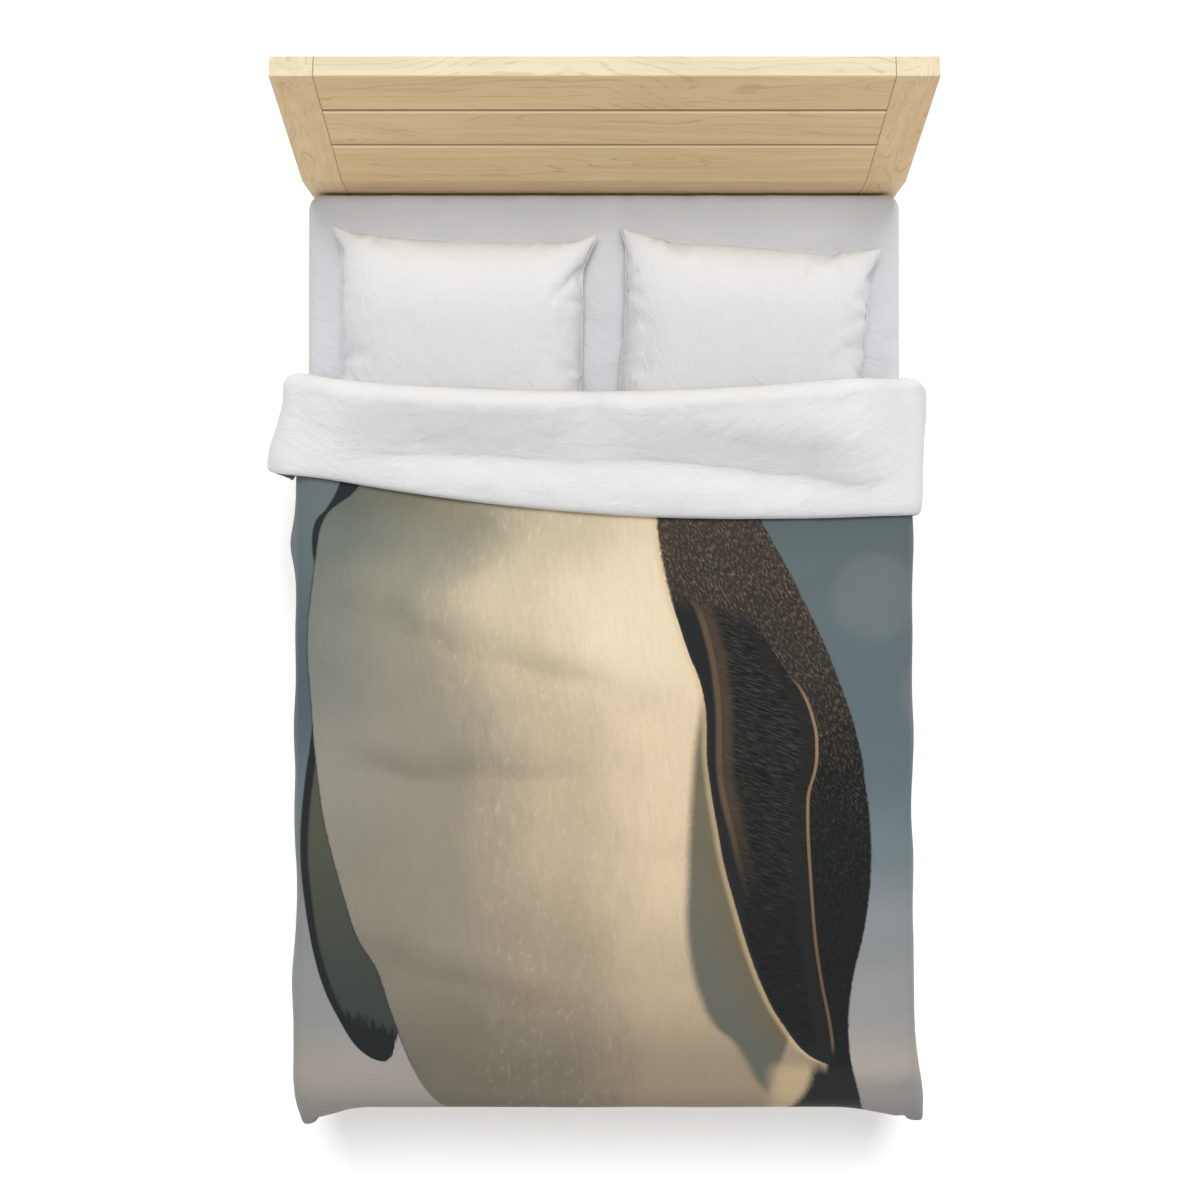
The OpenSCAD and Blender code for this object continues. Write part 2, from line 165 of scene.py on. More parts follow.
def sheet_shell(name, outer, inner, uv):
    """A closed skin between two grids of points, with the outer one's flat-cloth places as its UV map."""
    rows, columns = outer.shape[:2]
    count = rows * columns
    faces = grid_faces(rows, columns) + grid_faces(rows, columns, count, flip=True)
    ring = grid_border(rows, columns)
    faces += [(b, a, count + a, count + b) for a, b in zip(ring, ring[1:] + ring[:1])]
    obj = mesh_object(name, np.concatenate([outer.reshape(-1, 3), inner.reshape(-1, 3)]), faces)
    layer = obj.data.uv_layers.new(name="cloth")
    index = np.empty(len(obj.data.loops), int)
    obj.data.loops.foreach_get("vertex_index", index)
    flat = np.concatenate([uv.reshape(-1, 2), uv.reshape(-1, 2)])
    layer.data.foreach_set("uv", flat[index].ravel())
    return obj


def soft_box(name, low, high, corner, edge, step, bottom=True):
    """A block with round upright corners of radius corner and round upper and lower edges of radius edge."""
    low, high = np.array(low, float), np.array(high, float)
    half, middle = (high - low) / 2, (high + low) / 2
    counts = np.maximum(np.ceil(2 * half / step).astype(int), 4)
    index, points, faces = {}, [], []

    def vertex(i, j, k):
        if (i, j, k) not in index:
            index[i, j, k] = len(points)
            points.append([(2 * a / n - 1) * h for a, n, h in zip((i, j, k), counts, half)])
        return index[i, j, k]

    def quad(start, first, second):
        """A face with a corner at start and sides of one step in two directions."""
        start = np.array(start)
        corners = (start, start + first, start + first + second, start + second)
        faces.append([vertex(*corner) for corner in corners])

    nx, ny, nz = counts
    ahead_x, ahead_y, ahead_z = np.eye(3, dtype=int)
    for i in range(nx):
        for j in range(ny):
            quad((i, j, nz), ahead_x, ahead_y)
            if bottom:
                quad((i, j, 0), ahead_y, ahead_x)
        for k in range(nz):
            quad((i, 0, k), ahead_x, ahead_z)
            quad((i, ny, k), ahead_z, ahead_x)
    for j in range(ny):
        for k in range(nz):
            quad((0, j, k), ahead_z, ahead_y)
            quad((nx, j, k), ahead_y, ahead_z)
    p = np.array(points)
    inset = np.minimum(half[0] - abs(p[:, 0]), half[1] - abs(p[:, 1]))
    out = np.clip(edge - inset, 0, None)
    for sign in (1, -1) if bottom else (1,):
        rise = np.clip(edge - (half[2] - sign * p[:, 2]), 0, None)
        both = (out > 0) & (rise > 0)
        length = np.where(both, np.hypot(out, rise), 1)
        size = np.maximum(out, rise)
        new_out = np.where(both, size * out / length, out)
        p[:, 2] += sign * np.where(both, size * rise / length - rise, 0)
        new_inset = np.where(both, edge - new_out, inset)
        p[:, 0] *= (half[0] - new_inset) / np.maximum(half[0] - inset, 1e-6)
        p[:, 1] *= (half[1] - new_inset) / np.maximum(half[1] - inset, 1e-6)
        inset, out = new_inset, new_out
    d = np.stack([abs(p[:, 0]) - (half[0] - corner), abs(p[:, 1]) - (half[1] - corner)], axis=1)
    both = (d > 0).all(axis=1)
    size, length = d.max(axis=1), np.maximum(np.linalg.norm(d, axis=1), 1e-9)
    for axis in (0, 1):
        moved = half[axis] - corner + d[:, axis] * size / length
        p[:, axis] = np.where(both, np.sign(p[:, axis]) * moved, p[:, axis])
    return mesh_object(name, p + middle, faces)


def field_noise(x, y, scale, seed):
    """Smooth noise over two coordinates, about -1 to 1."""
    values = [noise.noise(Vector((a * scale, b * scale, seed))) for a, b in zip(x.ravel(), y.ravel())]
    return np.array(values).reshape(x.shape)


def circle_section(radius, count):
    return [(radius * math.cos(a), radius * math.sin(a))
            for a in np.linspace(0, 2 * math.pi, count, endpoint=False)]


def join(name, objects):
    """One object from several."""
    for obj in bpy.context.selected_objects:
        obj.select_set(False)
    for obj in objects:
        obj.select_set(True)
    bpy.context.view_layer.objects.active = objects[0]
    bpy.ops.object.join()
    objects[0].name = name
    objects[0].data.name = name
    return objects[0]


def apply_modifiers(obj):
    mesh = bpy.data.meshes.new_from_object(obj.evaluated_get(bpy.context.evaluated_depsgraph_get()))
    obj.modifiers.clear()
    obj.data = mesh


def stand_for(piece, slot, body, *nodes):
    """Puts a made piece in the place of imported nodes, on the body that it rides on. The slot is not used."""
    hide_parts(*nodes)
    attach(piece, body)


# ---- Cloth simulation ----

def run_cloth(obj, frames):
    """Steps the simulation and keeps the last shape as the object's mesh."""
    scene.frame_start, scene.frame_end = 1, frames
    for n in range(1, frames + 1):
        scene.frame_set(n)
    apply_modifiers(obj)
    scene.frame_set(1)


def add_cloth(obj, mass, stretch, shear, bending, damping, quality, clearance):
    cloth = obj.modifiers.new("cloth", "CLOTH")
    values = cloth.settings
    values.mass, values.quality, values.air_damping = mass, quality, damping
    values.tension_stiffness = values.compression_stiffness = stretch
    values.shear_stiffness, values.bending_stiffness = shear, bending
    cloth.collision_settings.distance_min = clearance
    return cloth


def add_collider(obj, thickness):
    obj.modifiers.new("collision", "COLLISION")
    obj.collision.thickness_outer = thickness
    obj.collision.cloth_friction = 20


# ---- The pillows ----

PILLOW_STEP = 0.014
PILLOW_FLAT = (0.645, 0.5)  # the case's cut, between its seams
PILLOW_SIZE = (0.612, 0.505, 0.116)  # stuffed, from corner to corner, and the thickness


def pillow_mesh(name, seed):
    """Two layers of cloth joined along their edges, a little apart in the middle."""
    columns = round(PILLOW_FLAT[0] / PILLOW_STEP) + 1
    rows = round(PILLOW_FLAT[1] / PILLOW_STEP) + 1
    u, v = np.meshgrid(np.linspace(-1, 1, columns), np.linspace(-1, 1, rows))
    crown = 0.045 * np.sqrt(np.clip((1 - u ** 2) * (1 - v ** 2), 0, 1))
    crown *= 1 + 0.25 * field_noise(3 * u, 2.2 * v, 1, seed)
    x, y = u * PILLOW_FLAT[0] / 2, v * PILLOW_FLAT[1] / 2
    layers = [np.stack([x, y, crown], -1), np.stack([x, y, -0.6 * crown], -1)]
    points = np.concatenate([layer.reshape(-1, 3) for layer in layers])
    count = rows * columns
    rim = {count + r * columns + c: r * columns + c for r in range(rows) for c in range(columns)
           if r in (0, rows - 1) or c in (0, columns - 1)}
    faces = grid_faces(rows, columns)
    faces += [tuple(rim.get(i, i) for i in f) for f in grid_faces(rows, columns, count, flip=True)]
    used = sorted({i for f in faces for i in f})
    place = {old: new for new, old in enumerate(used)}
    return mesh_object(name, points[used], [tuple(place[i] for i in f) for f in faces])


def blow_up(pillow):
    """Fills the cloth with pressure while it lies on a table."""
    table = soft_box("table", (-0.6, -0.6, -0.2), (0.6, 0.6, -0.055), 0.02, 0.01, 0.3)
    add_collider(table, 0.002)
    settings = add_cloth(pillow, mass=0.25, stretch=25, shear=12, bending=0.35, damping=4, quality=7,
                         clearance=0.004).settings
    settings.use_pressure = True
    settings.uniform_pressure_force = 9.5
    settings.effector_weights.gravity = 0.35
    run_cloth(pillow, 40)
    bpy.data.objects.remove(table)


# Where stitching draws each pillow's cloth in: the place on the edge, from -1 to 1, and how strongly
PINCHES = [(1.0, 0.35, 1.0), (0.97, -0.3, 0.7), (-1.0, 0.42, 0.8), (-0.98, -0.25, 0.6), (0.3, -0.95, 1.0),
           (-0.62, 0.97, 0.9), (0.66, 0.97, 0.7), (-0.35, -0.97, 0.6)]


def subdivide(obj):
    modifier = obj.modifiers.new("smooth", "SUBSURF")
    modifier.levels = modifier.render_levels = 1
    apply_modifiers(obj)


def seam_cord(name, path, radius):
    """A thin closed cord along a loop of points."""
    ahead = np.roll(path, -1, 0) - np.roll(path, 1, 0)
    side = np.cross(ahead, [0, 0, 1])
    side /= np.linalg.norm(side, axis=1, keepdims=True)
    up = np.cross(side, ahead)
    up /= np.linalg.norm(up, axis=1, keepdims=True)
    section = circle_section(radius, 6)
    points = [p + a * s + b * u for p, s, u in zip(path, side, up) for a, b in section]
    return mesh_object(name, points, tube_faces(len(path), len(section)))


def pillow_wrinkles(co, seed):
    """Height of the small folds in a pillow's cloth: fans from pinched stitches and gathers at the edges."""
    u, v = 2 * co[:, 0] / PILLOW_SIZE[0], 2 * co[:, 1] / PILLOW_SIZE[1]
    height = np.zeros(len(co))
    for k, (pu, pv, strength) in enumerate(PINCHES):
        du, dv = co[:, 0] - pu * PILLOW_SIZE[0] / 2, co[:, 1] - pv * PILLOW_SIZE[1] / 2
        away, angle = np.hypot(du, dv), np.arctan2(dv, du)
        reach = smooth(0.0, 0.025, away) * np.exp(-(away / 0.055) ** 1.5)
        height += strength * 0.0042 * reach * np.sin(7 * angle + seed + k)
    edge = 1 - np.minimum(1 - abs(u), 1 - abs(v))
    gathers = field_noise(co[:, 0], co[:, 1], 30, seed) + field_noise(co[:, 0], co[:, 1], 55, seed + 3)
    corner = smooth(0.55, 1.0, abs(u)) * smooth(0.55, 1.0, abs(v))
    ridges = np.sin((abs(u) - abs(v)) * 16 + seed)
    return height + 0.0011 * smooth(0.3, 0.9, edge) * gathers + 0.0016 * corner * ridges


def slope_line(x):
    """Where the bed cover falls away below the pillows, by the place across the bed."""
    return np.interp(x, [-0.72, -0.59, -0.35, -0.12, 0.1, 0.22, 0.34, 0.57, 0.72],
                     [0.462, 0.446, 0.426, 0.416, 0.412, 0.388, 0.357, 0.342, 0.33])


def make_pillow(side, turn, middle, seed):
    """A stuffed pillow, turned by an angle about the upright and set with its middle at a place."""
    name = "pillow_" + side
    pillow = pillow_mesh(name, seed)
    blow_up(pillow)
    co = points_of(pillow.data)
    co = (co - (co.max(0) + co.min(0)) / 2) * np.array(PILLOW_SIZE) / (co.max(0) - co.min(0))
    u, v = 2 * co[:, 0] / PILLOW_SIZE[0], 2 * co[:, 1] / PILLOW_SIZE[1]
    # The filling doesn't reach the corners, so the edges draw in between them
    co[:, 0] *= 1 - 0.028 * np.clip(1 - abs(v) ** 2.5, 0, 1)
    co[:, 1] *= 1 - 0.05 * np.clip(1 - abs(u) ** 4, 0, 1)
    co[:, 0] += 0.009 * np.sign(u) * (u * v) ** 8  # the corners stand out as ears
    move_points(pillow, co)
    columns = round(PILLOW_FLAT[0] / PILLOW_STEP) + 1
    rows = round(PILLOW_FLAT[1] / PILLOW_STEP) + 1
    path = co[grid_border(rows, columns)]
    for _ in range(2):
        path = 0.25 * np.roll(path, 1, 0) + 0.5 * path + 0.25 * np.roll(path, -1, 0)
    subdivide(pillow)
    co = points_of(pillow.data)
    normals = np.array([vertex.normal for vertex in pillow.data.vertices])
    move_points(pillow, co + normals * pillow_wrinkles(co, seed)[:, None])
    pillow = join(name, [pillow, seam_cord("seam", path, 0.0014)])
    co = points_of(pillow.data)
    c, s = math.cos(turn), math.sin(turn)
    co[:, :2] = co[:, :2] @ np.array([[c, s], [-s, c]])
    co += np.array([middle[0], middle[1], SHEET_TOP + 0.002 - co[:, 2].min()])
    line = slope_line(co[:, 0])  # the duvet presses the filling out of the pillow's lower end
    press = lerp(0.16, 1, smooth(line - 0.045, line + 0.09, co[:, 1]))
    co[:, 2] = SHEET_TOP + 0.002 + (co[:, 2] - SHEET_TOP - 0.002) * press
    move_points(pillow, co)
    stand_for(pillow, "pillow_cotton", name, "pillowcase_" + side, "pillow_insert_" + side)
    return pillow


pillow_y = HEAD_Y - 0.345
pillows = [make_pillow("left", math.radians(-1.8), (-0.328, pillow_y), 1.0),
           make_pillow("right", math.radians(-4.3), (0.322, pillow_y - 0.012), 5.0)]


# ---- The duvet: its middle surface ----

TURN = 0.0155  # radius of the fold's middle surface
MAIN_HALF = 1.1175  # half the duvet's width, laid flat
FOOT_DROP = 0.215  # cloth that hangs at the foot
HEAD_SPARE = 0.05  # cloth simulated past the fold, and cut off after


def drape_main():
    """The duvet dropped over the mattress, from the foot hem to past the fold: flat places and points."""
    lining_x = sheet_high.x + SIDE_ROOM
    lining_foot = FOOT_Y + LAYER
    rows = round((FOLD_Y + HEAD_SPARE - lining_foot + FOOT_DROP) / DRAPE_STEP)
    columns = round(2 * MAIN_HALF / DRAPE_STEP)
    x, y = np.meshgrid(np.linspace(-MAIN_HALF, MAIN_HALF, columns + 1),
                       np.linspace(lining_foot - FOOT_DROP, FOLD_Y + HEAD_SPARE, rows + 1))
    z = SHEET_TOP + 0.005 + MID + 0.004 * field_noise(x, y, 3.1, 2)
    flat = np.stack([x, y], -1)
    main = mesh_object("main", np.stack([x, y, z], -1).reshape(-1, 3), grid_faces(rows + 1, columns + 1))
    held = main.vertex_groups.new(name="held")
    in_middle = (abs(x) < 0.45) & (y > -0.9)
    held.add([int(i) for i in np.flatnonzero(in_middle)], 1, "REPLACE")
    block = soft_box("block", (-lining_x, lining_foot, 0.05), (lining_x, HEAD_Y, SHEET_TOP + 0.001),
                     0.1, 0.05, 0.06, bottom=False)
    add_collider(block, 0.002)
    cloth = add_cloth(main, mass=0.4, stretch=30, shear=10, bending=3, damping=3, quality=8, clearance=MID)
    cloth.settings.vertex_group_mass = "held"
    cloth.collision_settings.collision_quality = 3
    run_cloth(main, 75)
    grid = points_of(main.data).reshape(rows + 1, columns + 1, 3)
    for used in (block, main):
        bpy.data.objects.remove(used)
    return flat, grid


flat_grid, main_grid = drape_main()
FINE = 3  # cuts each simulated step into this many
flat_fine, main_fine = refine(flat_grid, FINE), refine(main_grid, FINE)


# How far each foot corner's fold stands out: which side it is on, then out to that side and to the foot
CORNER_FOLDS = ((-1, 0.008, 0.096), (1, 0.056, 0.088))


def fold_corners(grid, u, v):
    """Lays the cloth at each foot corner in one pointed fold, from the way it hangs along the edges."""
    start_u, start_v = sheet_high.x - 0.015, FOOT_Y + LAYER + 0.04
    across, up = u[0], v[:, 0]
    shaped = grid.copy()
    row, foot_row = np.argmin(abs(up - start_v - 0.3)), np.argmin(abs(up - start_v))
    for sign, out_x, out_y in CORNER_FOLDS:
        column = np.argmin(abs(sign * across - start_u + 0.3))
        side_column = np.argmin(abs(sign * across - start_u))
        past_u, past_v = np.clip(sign * u - start_u, 0, None), np.clip(start_v - v, 0, None)
        turn = np.arctan2(past_v, past_u + 1e-9) / (math.pi / 2)
        hang = np.hypot(past_u, past_v) * (1 - 0.18 * np.sin(math.pi * turn))

        def fall(line, at, axes):
            """How a hanging line moves from its start at each length of cloth, then straight down."""
            order = np.argsort(at)
            at, line = at[order], line[order]
            moved = [np.interp(hang, at, line[:, a]) - np.interp(0, at, line[:, a]) for a in axes]
            moved[1] = moved[1] - np.clip(hang - at[-1], 0, None)
            return moved

        side_x, side_z = fall(grid[row], sign * across - start_u, (0, 2))
        foot_y, foot_z = fall(grid[:, column], start_v - up, (1, 2))
        rows = np.maximum(np.arange(len(up)), foot_row)[:, None]
        columns = np.where(sign * across > start_u, side_column, np.arange(len(across)))[None]
        from_edge = grid[rows, columns]
        moved = np.stack([side_x * (1 - turn ** 2), foot_y * (1 - (1 - turn) ** 2),
                          lerp(side_z, foot_z, turn)], -1)
        along = np.where(past_v == 0, -0.03 - (v - start_v), np.where(past_u == 0, 0.03 + start_u - sign * u,
                                                                      0.06 * turn - 0.03))
        reach = np.where(along < 0, 0.19, 0.15)
        point = np.clip(1 - abs(along) / reach, 0, 1) ** 1.5
        point *= smooth(0.0, 0.2, hang) * (1 - 0.25 * smooth(0.25, 0.45, hang))
        moved += point[..., None] * np.array([sign * out_x, -out_y, 0])
        near = smooth(0.3, 0.17, np.maximum(v - start_v, start_u - sign * u)) * (hang > 0) * (sign * u > 0)
        shaped = lerp(shaped, from_edge + moved, near[..., None])
    return shaped


def spread(field, reach, axis, pick):
    """The highest (pick = np.maximum) or lowest of each value and its neighbours up to reach away."""
    f = np.moveaxis(field, axis, 0)
    best = f.copy()
    for shift in range(1, reach + 1):
        best[shift:] = pick(best[shift:], f[:-shift])
        best[:-shift] = pick(best[:-shift], f[shift:])
    return np.moveaxis(best, 0, axis)


def hollow_below(x, y):
    """1 along the hollow that the turned-down part sinks into below the pillows, fading to its sides."""
    depth = np.interp(x, [-0.74, -0.62, -0.4, -0.1, 0.15, 0.4, 0.6, 0.7],
                      [0.2, 0.7, 1, 1, 0.8, 1, 0.6, 0.1])
    return depth * np.exp(-((y - slope_line(x) + 0.015) / 0.052) ** 2)


def pillow_rise(grid):
    """How far the pillows push each point of the duvet up. It sags a little between them."""
    height = np.zeros(grid.shape[:2])
    trees = [BVHTree.FromPolygons([v.co for v in p.data.vertices], [f.vertices for f in p.data.polygons])
             for p in pillows]
    for r, c in np.argwhere(grid[..., 1] > 0.25):
        x, y = grid[r, c, :2] - [0, 0.012]
        for tree in trees:
            hit = tree.ray_cast(Vector((x, y, 1)), Vector((0, 0, -1)))[0]
            if hit:
                height[r, c] = max(height[r, c], hit.z - SHEET_TOP + 0.004)
    near = spread(spread(height, 2, 0, np.maximum), 2, 1, np.maximum)
    bridged = spread(spread(near, 10, 1, np.maximum), 10, 1, np.minimum)
    rise = soften(soften(0.35 * near + 0.65 * bridged, 3, 0), 10, 1)
    rise = soften(soften(np.maximum(rise, height), 9, 0), 6, 1)
    return rise - 0.013 * hollow_below(grid[..., 0], grid[..., 1])


# Soft creases over the bed: each one's ends and depth. A crease is a dent with a rise towards the head.
CREASES = [
    ((-0.63, 0.04), (-0.42, -0.05), 0.006), ((-0.42, -0.05), (-0.1, -0.145), 0.009),
    ((-0.1, -0.145), (0.12, -0.235), 0.008), ((-0.58, -0.36), (-0.1, -0.38), 0.011),
    ((-0.54, -0.79), (-0.15, -0.91), 0.011), ((-0.45, -1.06), (-0.05, -1.09), 0.006),
    ((0.2, -0.39), (0.56, -0.41), 0.006), ((0.3, -0.02), (0.55, 0.05), 0.003),
    ((-0.05, -0.52), (0.3, -0.6), 0.003), ((0.5, -0.85), (0.7, -0.8), 0.003),
]
CREASE_WIDTH = 0.05


def crease(x, y, start, end, depth):
    """The height that one crease adds: deepest in its middle, fading to its ends."""
    way = np.subtract(end, start)
    length = np.hypot(*way)
    along = ((x - start[0]) * way[0] + (y - start[1]) * way[1]) / length ** 2
    side = ((x - start[0]) * way[1] - (y - start[1]) * way[0]) / length
    fade = smooth(-0.25, 0.2, along) * smooth(1.25, 0.8, along)
    rise = 0.75 * hump(side, -1.35 * CREASE_WIDTH, CREASE_WIDTH)
    return 2.0 * depth * fade * (rise - hump(side, 0, CREASE_WIDTH))


def shape_main():
    """The main part's middle surface, lifted over the pillows, creased, and straight along the zip."""
    x, y = flat_fine[..., 0], flat_fine[..., 1]
    grid = fold_corners(main_fine, x, y)
    grid[..., 2] += pillow_rise(grid)
    on_top = smooth(0.74, 0.66, abs(x)) * smooth(FOOT_Y, FOOT_Y + 0.06, y)
    bent = 0.03 * field_noise(x, y, 6, 21)
    dents = sum(crease(x + bent, y + bent, *c) for c in CREASES) + 0.0035 * field_noise(x, y, 4, 7)
    dents = dents + 0.0012 * field_noise(x * 0.4 + y * 0.2, y, 24, 15)
    below_flap = smooth(0.3, 0.16, y)
    grid[..., 2] += on_top * (0.3 + 0.7 * below_flap) * dents
    waves = field_noise(x * 0.3, y, 5.5, 3)
    on_side = smooth(0.69, 0.8, abs(x)) * smooth(FOOT_Y, FOOT_Y + 0.2, y)
    bulge = 0.01 * hump(y, 0.17, 0.05) * (x < 0)
    grid[..., 0] += np.sign(x) * on_side * (0.013 * (waves + 0.35) + bulge)
    hem = grid[0].copy()
    middle = smooth(ZIP_HALF + 0.1, ZIP_HALF + 0.02, abs(x[0]))
    target = np.stack([hem[:, 0], np.full(len(hem), ZIP_Y), np.full(len(hem), tape_high.z + 0.0006)], -1)
    near_hem = smooth(0.16, 0.0, y - y.min())[..., None]
    return grid + near_hem * (middle[:, None] * (target - hem))[None]


def fold_line(x):
    """Where the duvet turns over, by the place across the bed: it bows to the foot in the middle."""
    x = np.clip(x, -0.74, 0.72)
    return FOLD_Y - 0.055 + 0.075 * x ** 2 + 0.012 * smooth(-0.6, -0.72, x)


def flap_hem_line(x):
    """Where the turned-down flap ends, nearest the foot a little right of the middle."""
    return FOLD_Y - 0.334 + 0.0935 * (np.clip(x, -0.76, 0.74) - 0.36) ** 2


def along_columns(values, heights, wanted):
    """Each column's values where its rising heights are as wanted: [row, column, n] from [row, column]."""
    out = np.empty(wanted.shape + values.shape[2:])
    for c in range(values.shape[1]):
        for k in range(values.shape[2]):
            out[:, c, k] = np.interp(wanted[:, c], heights[:, c], values[:, c, k])
    return out


def shape_duvet():
    """The middle surface from the foot hem round to the flap's hem: points, cloth places, thickness."""
    main, flat_x, flat_y = shape_main(), flat_fine[..., 0], flat_fine[..., 1]
    across = flat_x[0]
    turn = lerp(TURN, 0.0125, smooth(0.62, 0.76, abs(across)))
    turn_y, flap_y = fold_line(across) - turn, flap_hem_line(across)
    step = DRAPE_STEP / FINE
    rows = round((FOLD_Y - flat_y.min()) / step)
    share = np.linspace(0, 1, rows + 1)[:, None]
    wanted = flat_y.min() + share * (turn_y - flat_y.min())
    body = along_columns(main, flat_y, wanted)
    normals = grid_normals(soften(soften(main, 6, 0), 6, 1))
    end, end_n = body[-1], along_columns(normals, flat_y, turn_y[None])[0]
    ahead = body[-1] - body[-3]
    ahead /= np.linalg.norm(ahead, axis=1, keepdims=True)
    bend = [end + end_n * (turn * (1 - math.cos(a)))[:, None] + ahead * (turn * math.sin(a))[:, None]
            for a in np.linspace(0, math.pi, 9)[1:-1]]
    rows = round(0.3 / step)
    share = np.linspace(0, 1, rows + 1)[:, None]
    back_y = turn_y + share * (flap_y - turn_y)
    under, under_n = along_columns(main, flat_y, back_y), along_columns(normals, flat_y, back_y)
    to_hem = back_y - flap_y[None]
    cross = np.broadcast_to(across, back_y.shape)
    puff = 0.006 * smooth(0, 0.12, to_hem) * (1 + field_noise(cross, back_y, 6, 4))
    on_side = smooth(0.66, 0.74, abs(across))[None]
    hem_gap = lerp(MID + 0.006, 2 * turn[None], np.maximum(smooth(0, 0.045, to_hem), 0.8 * on_side))
    gap = hem_gap + puff * smooth(0, 0.05, turn_y - back_y) * (1 - on_side)
    hollow = hollow_below(cross, back_y)
    ridge = np.exp(-((to_hem - 0.07) / 0.05) ** 2) * (1 - on_side)
    gap += 0.01 * ridge - 0.006 * hollow
    gap = soften(soften(gap, 6, 0), 3, 1)
    gap += 0.0035 * field_noise(cross + 0.4 * back_y, back_y - 0.3 * cross, 14, 8)
    gap += 0.0016 * field_noise(cross - 0.5 * back_y, 1.6 * back_y, 26, 12)
    flap = under + under_n * gap[..., None]
    flap[..., 2] = np.maximum(soften(flap[..., 2], 36, 0), flap[..., 2] - 0.004)
    wing = smooth(-0.64, -0.76, across)[None] * smooth(0.2, 0, to_hem)
    flap[..., 0] -= 0.045 * wing
    whole = np.concatenate([body, np.array(bend), flap])
    u = np.broadcast_to(across, whole.shape[:2])
    v = np.concatenate([wanted, turn_y + turn * np.linspace(0, math.pi, 9)[1:-1, None],
                        turn_y + math.pi * turn + (turn_y - back_y)])
    to_edge = np.minimum(np.minimum(v - v[0], v[-1] - v), MAIN_HALF - abs(u))
    round_off = np.sqrt(1 - (1 - np.clip(to_edge / 0.03, 0, 1)) ** 2)
    full = lerp(LAYER, 0.019, smooth(0.68, 0.8, abs(u)))
    full = full * (1 + 0.1 * field_noise(u, v, 5, 9))
    full = lerp(full, 0.012, smooth(FOOT_Y + 0.1, FOOT_Y - 0.04, v) * smooth(0.62, 0.72, abs(u)))
    at_zip = smooth(ZIP_HALF + 0.06, ZIP_HALF, abs(u)) * smooth(v[0] + 0.06, v[0] + 0.02, v)
    return whole, np.stack([u, v], -1), lerp(lerp(0.005, 0.0125, at_zip), full, round_off)


# ---- The duvet: cover and filling ----

CLOTH = 0.0015  # thickness of the cover's cloth

duvet_mid, duvet_uv, duvet_thick = shape_duvet()
duvet_normals = grid_normals(duvet_mid)
half_layer = duvet_normals * (duvet_thick / 2)[..., None]
cloth_layer = duvet_normals * CLOTH
face_outer, back_outer = duvet_mid + half_layer, duvet_mid - half_layer

cover_face = sheet_shell("duvet_cover_face_cloth", face_outer, face_outer - cloth_layer, duvet_uv)
cover_back = sheet_shell("duvet_cover_back_cloth", back_outer + cloth_layer, back_outer, duvet_uv)
INNER = (slice(3, -3, 2), slice(3, -3, 2))  # the filling stops short of the seams
filling = sheet_shell("duvet_filling", (face_outer - 2.6 * cloth_layer)[INNER],
                      (back_outer + 2.6 * cloth_layer)[INNER], duvet_uv[INNER])
stand_for(cover_face, "duvet_print", "duvet", "duvet_cover_face")
stand_for(cover_back, "duvet_white", "duvet", "duvet_cover_back", "corner_ties")
stand_for(filling, "filling", "duvet", "duvet_insert")


# ---- The zip along the foot hem ----

TOOTH_PITCH = 0.0014
coil_low, coil_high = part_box("zip_coil")


def box_chain(name, centres, size):
    """Many small blocks as one mesh, each with its upright edges cut back."""
    w, d, h = np.array(size) / 2
    outline = [(-w, -0.6 * d), (-0.5 * w, -d), (0.5 * w, -d), (w, -0.6 * d),
               (w, 0.6 * d), (0.5 * w, d), (-0.5 * w, d), (-w, 0.6 * d)]
    count = len(outline)
    points, faces = [], []
    for x, y, z in centres:
        start = len(points)
        points += [(x + a, y + b, z - h) for a, b in outline] + [(x + a, y + b, z + h) for a, b in outline]
        low = list(range(start, start + count))
        high = [i + count for i in low]
        faces += [tuple(reversed(low)), tuple(high)]
        faces += [(low[i], low[(i + 1) % count], high[(i + 1) % count], high[i]) for i in range(count)]
    return mesh_object(name, points, faces)


teeth_count = round(2 * ZIP_HALF / TOOTH_PITCH)
coil = box_chain("zip_teeth", [(-ZIP_HALF + (i + 0.5) * TOOTH_PITCH, ZIP_Y + (0.0005 if i % 2 else -0.0005),
                                (coil_low.z + coil_high.z) / 2) for i in range(teeth_count)],
                 (0.0009, 0.005, coil_high.z - coil_low.z))
tape_grid = np.stack(np.meshgrid(np.linspace(-ZIP_HALF, ZIP_HALF, 121),
                                 np.linspace(ZIP_Y - 0.0058, ZIP_Y + 0.0058, 9)) + [np.zeros((9, 121))], -1)
tape_sag = 0.0002 * np.sin(tape_grid[..., 0] * 90)
tape_upper = tape_grid + np.array([0, 0, tape_high.z])
tape_lower = tape_grid + np.array([0, 0, tape_low.z])
tape_lower[..., 2] += tape_sag
tape = sheet_shell("zip_tape_cloth", tape_upper, tape_lower, tape_grid[..., :2])
stand_for(coil, "zip_plastic", "duvet", "zip_coil")
stand_for(tape, "zip_plastic", "duvet", "zip_tape")


# ---- Mattress, piping and fitted sheet ----

